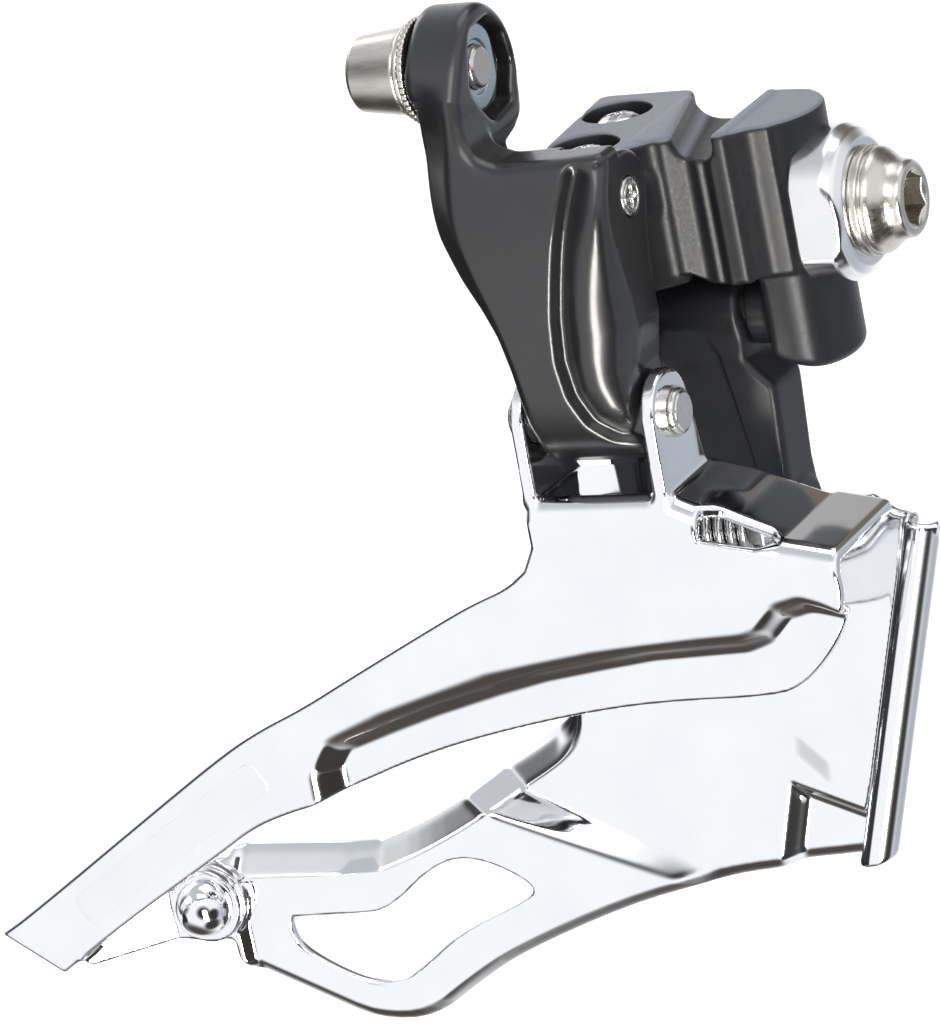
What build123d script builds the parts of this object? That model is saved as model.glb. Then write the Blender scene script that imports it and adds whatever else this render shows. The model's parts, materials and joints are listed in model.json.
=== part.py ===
"""Road front derailleur for a braze-on hanger, drive side.

Millimetres. The origin is the crest of the hanger seat on the axis of the frame bolt.
+X is forward, along that bolt and all four pivots. +Y is inboard, towards the frame.
+Z is up, along the seat tube. The chain runs through the cage along X.

Four pivots parallel to X form a parallelogram. The outer link turns on the bracket at
OUTER_TOP and on the cage at OUTER_LOW, the inner link at INNER_TOP and INNER_LOW.
"""
from build123d import *
from math import cos, pi, radians, sin
import os

# ---- linkage, as (y, z) ----
OUTER_TOP = (-18.0, 7.5)
LINK_STEP = (-1.7, -22.0)       # from the upper to the lower pivot of both links
PIVOT_STEP = (16.0, -17.5)      # from the outer to the inner pivot on bracket and cage
OUTER_LOW = (OUTER_TOP[0] + LINK_STEP[0], OUTER_TOP[1] + LINK_STEP[1])
INNER_TOP = (OUTER_TOP[0] + PIVOT_STEP[0], OUTER_TOP[1] + PIVOT_STEP[1])
INNER_LOW = (INNER_TOP[0] + LINK_STEP[0], INNER_TOP[1] + LINK_STEP[1])
SWING = 33.0                    # degrees, from the small to the large chainring

# ---- fits ----
RUNNING = 0.05                  # radial clearance of a pin in its bush
OPEN_PIVOT = 0.10               # radial clearance at INNER_LOW, where the loop is open
GAP = 0.4                       # side clearance between moving parts
BUSH_WALL = 0.6
PIN_RADIUS = 2.0

# ---- bracket ----
SEAT_BACK = -6.4                # rear face of the seat block below the valley
SEAT_LOW = -16.0
BRACKET_TOP = 10.1
BRACKET_LOW = -5.0              # underside of the screw block
VALLEY_FLOOR = 7.0
NOSE_RADIUS = 7.2
BLOCK_FRONT = -13.4
BOSS_RADIUS = 4.1
BOSS_SPAN = (-26.0, -14.9)      # x
REAR_LUG_SPAN = (-30.0, -27.4)  # x

# ---- frame bolt and its washer ----
WASHER_RADIUS = 8.0
WASHER_THICKNESS = 4.0
WASHER_WRAP = 1.4               # how far the washer's sides reach back
BOLT_THREAD_RADIUS = 2.5
BOLT_HEX = 5.0                  # across flats
FLANGE_RADIUS = 5.6
BOLT_TIP_RADIUS = 3.85
BOLT_NOSE = 9.2                 # x of the head's front face

# ---- limit screws: (x, y) of the axis ----
LOW_SCREW = (-22.7, 1.9)
HIGH_SCREW = (-21.5, -9.0)
SCREW_RADIUS = 1.5
SCREW_HEAD_RADIUS = 2.45
SCREW_HEAD_HEIGHT = 1.9
COUNTERBORE_RADIUS = 3.55
COUNTERBORE_FLOOR = 7.5
SCREW_TIP = -5.2
RECESS = (2.9, 0.7)             # length and width of each slot of the cross
RECESS_DEPTH = 1.3
STOP_GAP = 0.2                  # between a screw's tip and its pad at the end of the travel

# ---- outer link ----
CHEEK_FRONT = -12.9
CHEEK_REAR = -28.0
CHEEK = 1.6                     # thickness of each cheek
LOWER_FRONT = -13.9             # the barrel between the cage's ears
LOWER_REAR = -26.1
CLAMP = (-14.2, 20.6)           # (y, z) of the cable clamp bolt
HEAD_RADIUS = 6.6
HEAD_SPAN = (-34.6, -28.2)      # x
POCKET_DEPTH = 2.0
CLAMP_BOLT_RADIUS = 2.25
CLAMP_CAP_RADII = (4.55, 3.8)    # at the washer, at the rear
CLAMP_CAP_LENGTH = 6.0
CLAMP_WASHER_RADIUS = 5.2
CLAMP_WASHER = 1.4

# ---- inner link ----
INNER_FRONT_TOP = -9.8          # x of the upper barrel's front face
INNER_FRONT_LOW = -7.0          # x of the front face below the seat block
INNER_REAR = -27.0
INNER_TOP_RADIUS = 4.4
INNER_LOW_RADIUS = 4.3
KNUCKLE_FRONT = -9.6            # inner faces of the two lower knuckles, x
KNUCKLE_REAR = -24.2

# ---- cage ----
SHEET = 1.2
OUTER_FACE = -25.6              # y of the outer plate's outboard face
CHANNEL_DEPTH = 2.6             # how far the lower strip is set inboard
INNER_FACE = -10.6              # y of the inner plate's outboard face
TAIL_FACE = -17.0               # the same at its tail, past the joggle
WEB_TOP = -21.8                 # z of the top web between the ears
EAR_FRONT = (-13.5, -12.0)      # x
EAR_REAR = (-28.0, -26.5)
EAR_RADIUS = 4.4
INNER_EAR_FRONT = (-6.6, -5.4)
INNER_EAR_REAR = (-28.6, -27.4)
TAIL = (-77.8, -68.2)           # (x, z) of the tail rivet
PIN_RING = 0.5                  # rings under the heads of the pin at OUTER_LOW
TAIL_RADIUS = 3.1               # domed head
ROLL_RADIUS = 1.9               # rolled front edge of the inner plate
LEAN = (11.4, 0.0, 36.0)        # direction of that edge
NOTCH_LOW = -35.5               # z of the bottom of the notch in front of the spring
LABEL = 0.15                    # thickness of the label

# ---- return spring ----
WIRE_RADIUS = 0.6
COIL_RADIUS = 3.6               # to the middle of the wire
COIL_TURNS = 7
SLEEVE_RADIUS = 2.8


def rod(span, centre, radius):
    """Cylinder parallel to X. centre is (y, z)."""
    low, high = span
    across = (Align.CENTER, Align.CENTER, Align.MIN)
    return Pos(low, *centre) * Rot(0, 90, 0) * Cylinder(radius, high - low, align=across)


def tube(span, centre, outer, inner):
    return rod(span, centre, outer) - rod((span[0] - 1, span[1] + 1), centre, inner)


def upright(axis, low, high, radius):
    """Cylinder parallel to Z. axis is (x, y)."""
    across = (Align.CENTER, Align.CENTER, Align.MIN)
    return Pos(*axis, low) * Cylinder(radius, high - low, align=across)


def crosswise(centre, low, high, radius):
    """Cylinder parallel to Y. centre is (x, z)."""
    across = (Align.CENTER, Align.CENTER, Align.MIN)
    return Pos(centre[0], low, centre[1]) * Rot(-90, 0, 0) * Cylinder(radius, high - low, align=across)


def outline(points, radius=0.0):
    if radius:
        return make_face(FilletPolyline(*points, radius=radius, close=True))
    return make_face(Polyline(*points, close=True))


def along_x(face, low, high):
    """Prism from a face drawn in (y, z)."""
    return extrude(Plane.YZ.offset(low) * face, high - low)


def along_y(face, low, high):
    """Prism from a face drawn in (x, z)."""
    return extrude(Plane.XZ.offset(-high) * face, high - low)


def along_z(face, low, high):
    """Prism from a face drawn in (x, y)."""
    return extrude(Plane.XY.offset(low) * face, high - low)


def block(x, y, z):
    """Box from three (low, high) pairs."""
    size = [span[1] - span[0] for span in (x, y, z)]
    return Pos(x[0], y[0], z[0]) * Box(*size, align=(Align.MIN, Align.MIN, Align.MIN))


def hexagon_x(low, high, across_flats):
    """Hexagonal prism on the X axis, with a corner up."""
    corner = across_flats / 2 / cos(pi / 6)
    return along_x(RegularPolygon(corner, 6, rotation=30), low, high)


def bush_radius():
    """Outer radius of a bush, and of the hole it is pressed into."""
    return PIN_RADIUS + RUNNING + BUSH_WALL


# ---------------------------------------------------------------- bracket
def seat_block():
    """Upright block whose nose is the seat, round about a line parallel to Z."""
    side = 6.2
    meet = (NOSE_RADIUS ** 2 - side ** 2) ** 0.5 - NOSE_RADIUS
    edges = ThreePointArc((meet, -side), (0, 0), (meet, side))
    edges += Polyline((meet, side), (SEAT_BACK, side), (SEAT_BACK, -side), (meet, -side))
    body = along_z(make_face(edges), SEAT_LOW, BRACKET_TOP)
    return fillet(body.edges().group_by(Axis.Z)[0], 1.4)


def screw_block():
    """Block behind the valley, with a counterbored hole for each limit screw."""
    plan = outline([(-27.2, 7.7), (-25.6, -9.8), (-16.4, -11.6), (BLOCK_FRONT, -8.4), (-17.4, 8.2)], 1.0)
    return along_z(plan, BRACKET_LOW, BRACKET_TOP)


def bracket_body():
    body = seat_block() + screw_block()
    body += block((BLOCK_FRONT - 3.0, SEAT_BACK + 0.5), (-6.4, 5.6), (BRACKET_LOW, VALLEY_FLOOR))
    body += rod(BOSS_SPAN, OUTER_TOP, BOSS_RADIUS)
    body += block(BOSS_SPAN, (OUTER_TOP[0], -9.0), (OUTER_TOP[1] - 4.1, OUTER_TOP[1] - 0.9))
    ear = rod(REAR_LUG_SPAN, INNER_TOP, 4.0)
    ear += block(REAR_LUG_SPAN, (INNER_TOP[0] - 4.0, INNER_TOP[0] + 4.0), (INNER_TOP[1], 2.0))
    body += ear
    body += block((REAR_LUG_SPAN[0], -24.0), (INNER_TOP[0] - 4.0, INNER_TOP[0] + 4.0), (BRACKET_LOW, 2.0))
    body -= rod((-9.0, 1.0), (0, 0), BOLT_THREAD_RADIUS)
    body -= rod((BOSS_SPAN[0] - 1, BOSS_SPAN[1] + 1), OUTER_TOP, bush_radius())
    body -= rod((REAR_LUG_SPAN[0] - 1, -4.0), INNER_TOP, PIN_RADIUS)
    for axis in (LOW_SCREW, HIGH_SCREW):
        body -= upright(axis, BRACKET_LOW - 1, BRACKET_TOP, SCREW_RADIUS + RUNNING)
        body -= upright(axis, COUNTERBORE_FLOOR, BRACKET_TOP + 2, COUNTERBORE_RADIUS)
    return body


def outer_link_upper_bush():
    return tube(BOSS_SPAN, OUTER_TOP, bush_radius(), PIN_RADIUS + RUNNING)


def inner_link_upper_pin():
    return rod((REAR_LUG_SPAN[0] - 0.6, -4.0), INNER_TOP, PIN_RADIUS)


def radius_washer():
    """Round washer, flat at the sides, hollow behind to wrap a curved hanger plate."""
    rim = 0.9
    half = Polyline(
        (-WASHER_WRAP, 0), (-WASHER_WRAP, WASHER_RADIUS), (WASHER_THICKNESS - rim, WASHER_RADIUS),
        (WASHER_THICKNESS, WASHER_RADIUS - rim), (WASHER_THICKNESS, 0), close=True,
    )
    body = revolve(make_face(half), Axis.X)
    body = body & block((-WASHER_WRAP, WASHER_THICKNESS), (-7.4, 7.4), (-9, 9))
    body -= Pos(-NOSE_RADIUS, 0) * Cylinder(NOSE_RADIUS, 40)
    return body - rod((-9, 9), (0, 0), BOLT_THREAD_RADIUS)


def frame_bolt():
    """Flanged M5 bolt with a hollow-flanked bell head and a hex socket."""
    low = WASHER_THICKNESS
    flank = [(low + 1.4, FLANGE_RADIUS - 0.3), (low + 2.8, FLANGE_RADIUS - 1.4)]
    flank += [(BOLT_NOSE - 0.5, BOLT_TIP_RADIUS)]
    edges = Line((-8.2, 0), (-8.2, BOLT_THREAD_RADIUS))
    edges += Line((-8.2, BOLT_THREAD_RADIUS), (low, BOLT_THREAD_RADIUS))
    edges += Line((low, BOLT_THREAD_RADIUS), (low, FLANGE_RADIUS))
    edges += Line((low, FLANGE_RADIUS), (low + 1.1, FLANGE_RADIUS))
    edges += Line((low + 1.1, FLANGE_RADIUS), flank[0])
    edges += Spline(*flank)
    edges += Line(flank[-1], (BOLT_NOSE, BOLT_TIP_RADIUS - 0.5))
    edges += Line((BOLT_NOSE, BOLT_TIP_RADIUS - 0.5), (BOLT_NOSE, 0))
    edges += Line((BOLT_NOSE, 0), (-8.2, 0))
    bolt = revolve(make_face(edges), Axis.X)
    return bolt - hexagon_x(BOLT_NOSE - 3.6, BOLT_NOSE + 1, BOLT_HEX)


def limit_screw(axis):
    """Pan head with a cross recess, and a plain shank for the M3 thread."""
    seat = COUNTERBORE_FLOOR + 0.1
    top = seat + SCREW_HEAD_HEIGHT
    screw = upright(axis, SCREW_TIP, seat, SCREW_RADIUS) + upright(axis, seat, top, SCREW_HEAD_RADIUS)
    screw = fillet(screw.edges().filter_by(GeomType.CIRCLE).sort_by(Axis.Z)[-1:], 0.6)
    length, width = RECESS
    for size in ((length, width), (width, length)):
        screw -= Pos(*axis, top) * Box(*size, 2 * RECESS_DEPTH)
    return screw


# ---------------------------------------------------------------- outer link
def link_side_view():
    """Section of the outer link's shell across its pivots, in (y, z)."""
    return outline([
        (-22.6, 12.4), (-25.6, 6.0), (-26.3, -3.0), (-25.6, -12.0), (-24.0, -17.6), (-20.8, -19.6),
        (-17.0, -19.0), (-15.0, -16.6), (-14.9, -12.0), (-15.4, -4.0), (-14.0, 3.0), (-12.8, 8.0),
        (-14.8, 12.4),
    ], 1.2)


def link_front_view():
    """Outline of the outer link as seen from outboard, in (x, z)."""
    return outline([
        (CHEEK_FRONT, 12.9), (CHEEK_FRONT, -4.6), (LOWER_FRONT, -8.0), (LOWER_FRONT, -20.0),
        (LOWER_REAR, -20.0), (LOWER_REAR, -9.6), (-27.4, -4.0), (-30.4, 1.6), (-34.0, 6.4), (-34.6, 14.0),
        (-30.0, 14.6),
    ], 0.8)


def cable_arm():
    """Arm that rises from the rear of the link to the cable clamp."""
    y, z = CLAMP
    waist = outline([
        (-25.4, 5.0), (y - HEAD_RADIUS * 0.98, z + 1.0), (y + HEAD_RADIUS * 0.94, z + 2.2),
        (y + HEAD_RADIUS * 0.78, z - 4.2), (-14.4, 13.4), (-13.4, 8.0),
    ])
    arm = along_x(waist, *HEAD_SPAN) + rod(HEAD_SPAN, CLAMP, HEAD_RADIUS)
    root = outline([(-25.0, 5.0), (-22.4, 13.6), (-14.6, 13.2), (-13.6, 6.0)], 1.0)
    arm += along_x(root, HEAD_SPAN[0], CHEEK_REAR + CHEEK)
    arm -= rod((HEAD_SPAN[1] - POCKET_DEPTH, 0), CLAMP, 4.6)
    return arm - rod((-40, 0), CLAMP, CLAMP_BOLT_RADIUS)


def outer_link():
    shell = along_x(link_side_view(), CHEEK_REAR - 7.0, CHEEK_FRONT) & along_y(link_front_view(), -30, -5)
    hollow_side = outline([
        (-20.6, 11.9), (-23.4, 8.0), (-24.2, -3.0), (-23.6, -9.2), (-10.0, -9.2), (-10.0, 11.9),
    ], 1.0)
    shell -= along_x(hollow_side, CHEEK_REAR + CHEEK, CHEEK_FRONT - CHEEK)
    shell += cable_arm()
    shell -= rod((LOWER_REAR - 1, LOWER_FRONT + 1), OUTER_LOW, bush_radius())
    return shell - rod((CHEEK_REAR - 0.6, 0), OUTER_TOP, PIN_RADIUS)


def outer_link_upper_pin():
    return rod((CHEEK_REAR - 0.6, CHEEK_FRONT), OUTER_TOP, PIN_RADIUS)


def bushes(spans, centre, clearance):
    """A pair of plain bushes, one at each end of a barrel."""
    return Compound([tube(span, centre, bush_radius(), PIN_RADIUS + clearance) for span in spans])


def outer_link_lower_bushes():
    middle = (LOWER_REAR + LOWER_FRONT) / 2
    return bushes(((LOWER_REAR, middle - 1), (middle + 1, LOWER_FRONT)), OUTER_LOW, RUNNING)


def inner_link_upper_bushes():
    middle = (INNER_REAR + INNER_FRONT_TOP) / 2
    return bushes(((INNER_REAR, middle - 2), (middle + 2, INNER_FRONT_TOP)), INNER_TOP, RUNNING)


def inner_link_lower_bushes():
    return bushes(((INNER_REAR, KNUCKLE_REAR), (KNUCKLE_FRONT, INNER_FRONT_LOW)), INNER_LOW, OPEN_PIVOT)


def cable_clamp_bolt():
    """Tapered round cap behind the arm, with a shank that ends in the nut."""
    rear = HEAD_SPAN[0] - CLAMP_WASHER
    shank = rod((rear, HEAD_SPAN[1] - 0.1), CLAMP, CLAMP_BOLT_RADIUS - 0.05)
    across = (Align.CENTER, Align.CENTER, Align.MIN)
    cap = Pos(rear, *CLAMP) * Rot(0, -90, 0) * Cone(*CLAMP_CAP_RADII, CLAMP_CAP_LENGTH, align=across)
    cap = chamfer(cap.edges().filter_by(GeomType.CIRCLE).sort_by(Axis.X)[:1], 0.4)
    return shank + cap - Pos(rear - CLAMP_CAP_LENGTH, *CLAMP) * hexagon_x(-1, 2.4, BOLT_HEX)


def cable_clamp_washer():
    """Washer with teeth around its rim and a groove for the cable."""
    rear = HEAD_SPAN[0] - CLAMP_WASHER
    ring = tube((rear, HEAD_SPAN[0]), CLAMP, CLAMP_WASHER_RADIUS, CLAMP_BOLT_RADIUS)
    y, z = CLAMP
    return ring - block((HEAD_SPAN[0] - 0.5, HEAD_SPAN[0] + 1), (y + 2.5, y + 3.7), (z - 9, z + 9))


def cable_clamp_nut():
    """Nut plate, round with one flat side so that it can't turn in its pocket."""
    low = HEAD_SPAN[1] - POCKET_DEPTH
    plate = rod((low, HEAD_SPAN[1] - 0.6), CLAMP, 4.55)
    plate = plate & block((low, 0), (CLAMP[0] - 9, CLAMP[0] + 3.6), (0, 40))
    return plate - rod((-60, 0), CLAMP, CLAMP_BOLT_RADIUS - 0.05)


# ---------------------------------------------------------------- inner link
def limit_pads():
    """Two pads on the upper barrel, one under each limit screw's tip."""
    top_y, top_z = INNER_TOP
    pad_top = SCREW_TIP - STOP_GAP
    low_pad = block(
        (LOW_SCREW[0] - 2.2, LOW_SCREW[0] + 2.2), (top_y, LOW_SCREW[1] + 1.6), (top_z, pad_top))
    turn = radians(SWING)
    reach = HIGH_SCREW[1] - top_y
    rise = pad_top - top_z
    tip = (top_y + reach * cos(turn) - rise * sin(turn), top_z + reach * sin(turn) + rise * cos(turn))
    high_pad = outline([
        (top_y, top_z + 3.6), (tip[0] + 1.6 * cos(turn), tip[1] + 1.6 * sin(turn)),
        (tip[0] - 1.4 * cos(turn), tip[1] - 1.4 * sin(turn)), (tip[0] - 0.6, tip[1] - 3.2),
        (top_y, top_z - 3.4),
    ])
    return low_pad + along_x(high_pad, HIGH_SCREW[0] - 2.0, HIGH_SCREW[0] + 2.0)


def inner_link():
    top_y, top_z = INNER_TOP
    low_y, low_z = INNER_LOW
    barrel = rod((INNER_REAR, INNER_FRONT_TOP), INNER_TOP, INNER_TOP_RADIUS)
    upper_web = outline([
        (top_y - 3.6, top_z), (top_y - 3.8, -18.6), (top_y + 2.4, -18.6), (top_y + 3.2, top_z),
    ])
    lower_web = outline([
        (top_y - 3.8, -18.5), (low_y - 2.6, -26.6), (low_y + 3.6, -26.6), (top_y + 2.4, -18.5),
    ])
    web = along_x(upper_web, INNER_REAR, INNER_FRONT_TOP) + along_x(lower_web, INNER_REAR, INNER_FRONT_LOW)
    knuckle = outline([
        (low_y - 2.6, -26.5), (low_y - INNER_LOW_RADIUS, low_z), (low_y + INNER_LOW_RADIUS, low_z),
        (low_y + 3.6, -26.5),
    ])
    link = barrel + web + limit_pads()
    for span in ((INNER_REAR, KNUCKLE_REAR), (KNUCKLE_FRONT, INNER_FRONT_LOW)):
        link += rod(span, INNER_LOW, INNER_LOW_RADIUS) + along_x(knuckle, *span)
    link -= rod((INNER_REAR - 1, 0), INNER_TOP, bush_radius())
    return link - rod((INNER_REAR - 1, 0), INNER_LOW, bush_radius())


# ---------------------------------------------------------------- cage
def panel_outline():
    """Outboard view of the outer plate, in (x, z), from the nose round to the tail."""
    nose = [(-2.6, -27.6), (2.8, -27.6), (4.9, -29.4), (5.4, -32.4), (3.4, -38.0), (-0.4, -41.8)]
    lower = [(-4.4, -43.2), (-16.9, -43.6), (-28.2, -45.4), (-40.2, -48.0), (-55.4, -53.0)]
    lower += [(-66.5, -57.0), (-84.5, -67.9)]
    tail = [(-92.8, -73.2), (-99.7, -68.8)]
    upper = [(-67.5, -48.2), (-62.8, -45.6), (-31.8, -30.8), (-28.0, -27.0)]
    under_web = [(-27.2, WEB_TOP - 1), (-11.8, WEB_TOP - 1), (-10.6, -25.2)]
    return outline(nose + lower + tail + upper + under_web, 0.8)


def channel_outline(run):
    """Edge of the strip that is set inboard, in (x, z). run goes from 0 to 1 down the slope."""
    high = [(7.0, -33.4), (0.2, -31.8), (-5.0, -35.2), (-23.6, -37.2), (-49.4, -43.5), (-57.4, -47.6)]
    high += [(-59.0, -53.8)]
    deep = [(7.0, -36.4), (0.4, -35.0), (-5.4, -38.6), (-17.3, -39.7), (-42.7, -45.3), (-54.4, -49.4)]
    deep += [(-55.0, -53.2)]
    top = [(a + run * (b - a), c + run * (d - c)) for (a, c), (b, d) in zip(high, deep)]
    return outline(top + [(top[-1][0], -64.0), (7.0, -64.0)])


def channel_slope(low):
    """The space over the strip and its slope, from y = low inboard by the channel's depth."""
    mouth = Plane.XZ.offset(-low) * channel_outline(0)
    floor = Plane.XZ.offset(-low - CHANNEL_DEPTH) * channel_outline(1)
    return loft([mouth, floor], ruled=True)


def outer_panel():
    """Flat plate whose lower strip is set inboard down a slope."""
    panel = along_y(panel_outline(), OUTER_FACE, OUTER_FACE + SHEET)
    step = channel_slope(OUTER_FACE + SHEET) & along_y(panel_outline(), OUTER_FACE, 0)
    return panel + step - channel_slope(OUTER_FACE)


def tail_tab():
    """Tab that runs inboard from the outer plate's lower edge to the tail rivet."""
    x, z = TAIL
    high = TAIL_FACE - SHEET
    plan = outline([
        (-90.6, OUTER_FACE + SHEET), (-88.6, OUTER_FACE + 0.2), (-81.6, high - SHEET), (x, high - SHEET),
        (x, high), (-82.2, high),
    ])
    side = outline([(-89.5, -70.8), (-84.0, -66.8), (x, z + 4.0), (x, z - 4.0), (-82.0, -71.6)])
    web = along_z(plan, -80, -60) & along_y(side, -30, 0)
    return web + crosswise(TAIL, high - SHEET, high, 4.0)


def ear(span, centre, foot_z):
    """Round-topped ear that stands on the cage's top web."""
    y, z = centre
    foot = outline([(y - EAR_RADIUS, z), (y - 2.6, foot_z), (y + 6.2, foot_z), (y + EAR_RADIUS, z)])
    body = along_x(foot, *span) + rod(span, centre, EAR_RADIUS)
    return body - rod((span[0] - 1, span[1] + 1), centre, PIN_RADIUS)


def top_web():
    """Sheet that leads inboard from the plate's top, falls forward and ends in the nose bridge."""
    y = (OUTER_FACE, -13.4)
    web = block((-28.0, -11.0), y, (WEB_TOP - SHEET, WEB_TOP))
    web = fillet(web.edges().filter_by(Axis.X).group_by(Axis.Z)[-1].sort_by(Axis.Y)[:1], 1.0)
    fall = [(-11.6, WEB_TOP), (-3.6, -26.6), (-3.2, -26.6 - SHEET), (-11.6, WEB_TOP - SHEET)]
    cover = along_y(outline(fall), -25.0, -11.0)
    cover -= along_y(outline([(-10.2, -20), (-4.4, -20), (-4.4, -30), (-10.2, -30)], 1.2), -26, -19.6)
    bridge = outline([(-3.7, -26.6), (4.4, -27.6), (4.4, -27.6 - SHEET), (-3.7, -26.6 - SHEET)])
    return web + cover + along_y(bridge, OUTER_FACE, INNER_FACE)


def outer_cage_plate():
    plate = outer_panel() + top_web() + tail_tab()
    for span in (EAR_FRONT, EAR_REAR):
        plate += ear(span, OUTER_LOW, WEB_TOP)
    return plate - crosswise(TAIL, OUTER_FACE, INNER_FACE, 1.5)


def inner_panel_outline():
    """Outboard view of the inner plate, in (x, z)."""
    front = [(4.0, -28.2), (7.0, -31.2), (10.2, -30.9), (1.4, -62.0), (-0.8, -66.0), (-4.2, -67.2)]
    lower = [(-18.0, -69.0), (-30.3, -70.4), (-42.2, -74.4), (-48.2, -77.9), (-53.8, -82.0), (-61.1, -82.8)]
    tail = [(-72.0, -77.6), (-75.4, -74.8), (-75.4, -72.4), (-81.8, -72.2), (-82.4, -64.6), (-76.0, -63.2)]
    upper = [(-57.9, -62.8), (-52.8, -60.8), (-38.0, -52.4), (-32.4, -47.4), (-29.4, -40.0), (-29.0, -28.2)]
    return outline(front + lower + tail + upper, 0.15)


def inner_section():
    """Section of the inner plate across its leaning front edge, in (x, y) at z = 0."""
    inboard = INNER_FACE + SHEET
    tab = TAIL_FACE - SHEET
    start = 17.4
    face = [(start, INNER_FACE), (-20.0, INNER_FACE), (-33.0, TAIL_FACE), (-51.4, TAIL_FACE)]
    face += [(-52.6, tab), (-70.0, tab)]
    back = [(-70.0, TAIL_FACE), (-52.2, TAIL_FACE), (-51.0, TAIL_FACE + SHEET), (-32.6, TAIL_FACE + SHEET)]
    back += [(-19.6, inboard), (start, inboard)]
    centre = start + ROLL_RADIUS - SHEET
    roll = Pos(centre, INNER_FACE + 0.01) * (Circle(ROLL_RADIUS) - Circle(ROLL_RADIUS - SHEET))
    half = Pos(centre, INNER_FACE - ROLL_RADIUS) * Rectangle(9, 2 * ROLL_RADIUS)
    return make_face(Polyline(*face, *back, close=True)) + (roll & half)


def kidney_hole():
    """Lightening hole near the tail, in (x, z)."""
    ring = [
        (-68.6, -70.9), (-58.4, -69.7), (-50.3, -64.6), (-45.0, -64.1), (-39.6, -67.4), (-49.3, -72.2),
        (-54.2, -75.7), (-58.2, -78.0), (-61.6, -77.9), (-68.4, -74.2),
    ]
    return outline(ring, 1.3)


def spring_notch():
    """Notch in the top edge that clears the return spring, in (x, z)."""
    low, high = KNUCKLE_REAR + GAP, KNUCKLE_FRONT - GAP
    return outline([(low, -20.0), (low, NOTCH_LOW), (high, NOTCH_LOW), (high, -20.0)], 1.5)


def inner_cage_plate():
    section = Plane.XY.offset(-100) * inner_section()
    rise = 100 / LEAN[2]
    sheet = Pos(-LEAN[0] * rise, 0, 0) * extrude(section, 3 * LEAN[2], dir=LEAN)
    plate = sheet & along_y(inner_panel_outline() - kidney_hole() - spring_notch(), -30, 0)
    y, z = INNER_LOW
    for span in (INNER_EAR_FRONT, INNER_EAR_REAR):
        foot = outline([(INNER_FACE, z + 2.8), (INNER_FACE, z - 6.0), (y, z - 4.2), (y, z + 4.2)])
        lug = along_x(foot, *span) + rod(span, INNER_LOW, 4.2)
        plate += lug - rod((span[0] - 1, span[1] + 1), INNER_LOW, PIN_RADIUS)
    return plate - crosswise(TAIL, OUTER_FACE, INNER_FACE, 1.5)


def cage_label():
    """Blank label on the tail of the outer plate."""
    corners = [(-90.2, -64.6), (-64.8, -48.7), (-62.6, -52.2), (-88.0, -68.1)]
    return along_y(outline(corners, 1.2), OUTER_FACE - LABEL, OUTER_FACE)


def headed_pin(span, centre, head_radius, head):
    """Pin with a round head formed at each end. span is between the heads."""
    low, high = span
    pin = rod((low - head, high + head), centre, PIN_RADIUS)
    for side in ((low - head, low), (high, high + head)):
        pin += rod(side, centre, head_radius)
    return pin


def outer_link_lower_pin():
    return headed_pin((EAR_REAR[0] - PIN_RING, EAR_FRONT[1] + PIN_RING), OUTER_LOW, 2.3, 0.9)


def outer_link_lower_rings():
    spans = ((EAR_REAR[0] - PIN_RING, EAR_REAR[0]), (EAR_FRONT[1], EAR_FRONT[1] + PIN_RING))
    return Compound([tube(span, OUTER_LOW, 2.6, PIN_RADIUS) for span in spans])


def inner_link_lower_pin():
    return headed_pin((INNER_EAR_REAR[0], INNER_EAR_FRONT[1]), INNER_LOW, 2.4, 0.8)


def spring_sleeve():
    return tube((KNUCKLE_REAR + GAP, KNUCKLE_FRONT - GAP), INNER_LOW, SLEEVE_RADIUS, PIN_RADIUS + OPEN_PIVOT)


def return_spring():
    """Torsion coil between the knuckles, with one leg on the link and one on the plate."""
    pitch = 2 * WIRE_RADIUS + 0.12
    start = KNUCKLE_REAR + GAP + WIRE_RADIUS + 1.2
    y, z = INNER_LOW
    helix = Helix(pitch, pitch * COIL_TURNS, COIL_RADIUS, direction=(1, 0, 0))
    path = Pos(start, y, z) * helix
    first = path @ 0
    section = Plane(first, z_dir=path % 0) * Circle(WIRE_RADIUS)
    return sweep(section, path=path)


def tail_rivet():
    """Shank with a domed head outboard and a flat head inboard."""
    low = TAIL_FACE - 2 * SHEET
    high = TAIL_FACE
    dome = Pos(TAIL[0], low, TAIL[1]) * Sphere(TAIL_RADIUS) & block((-90, -60), (low - 9, low), (-90, -50))
    return crosswise(TAIL, low, high, 1.5) + dome + crosswise(TAIL, high, high + 0.9, 2.6)


def low_limit_screw():
    return limit_screw(LOW_SCREW)


def high_limit_screw():
    return limit_screw(HIGH_SCREW)


PARTS = [
    bracket_body, radius_washer, frame_bolt, outer_link_upper_bush, inner_link_upper_pin, low_limit_screw,
    high_limit_screw, outer_link, outer_link_upper_pin, outer_link_lower_bushes, cable_clamp_bolt,
    cable_clamp_washer, cable_clamp_nut, inner_link, inner_link_upper_bushes, inner_link_lower_bushes,
    outer_cage_plate, inner_cage_plate, cage_label, outer_link_lower_pin, outer_link_lower_rings,
    inner_link_lower_pin, spring_sleeve, return_spring, tail_rivet,
]

os.makedirs("parts", exist_ok=True)
for make in PARTS:
    export_step(make(), f"parts/{make.__name__}.step")
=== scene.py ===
"""Looks of a road front derailleur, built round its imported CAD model.

The sheet and cast pieces are given as signed distances, in millimetres, on a grid of
sample points, and the surface at distance 0 becomes a mesh whose normals come from the
same distances. The turned pieces are profiles spun about an axis. The frame's pivots and
boxes place everything; Blender's own units are metres.
"""
import json
from math import acos, atan2, ceil, cos, degrees, pi, radians, sin, sqrt

import bmesh
import bpy
import numpy as np
import openvdb
from mathutils import Matrix, Vector


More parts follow.
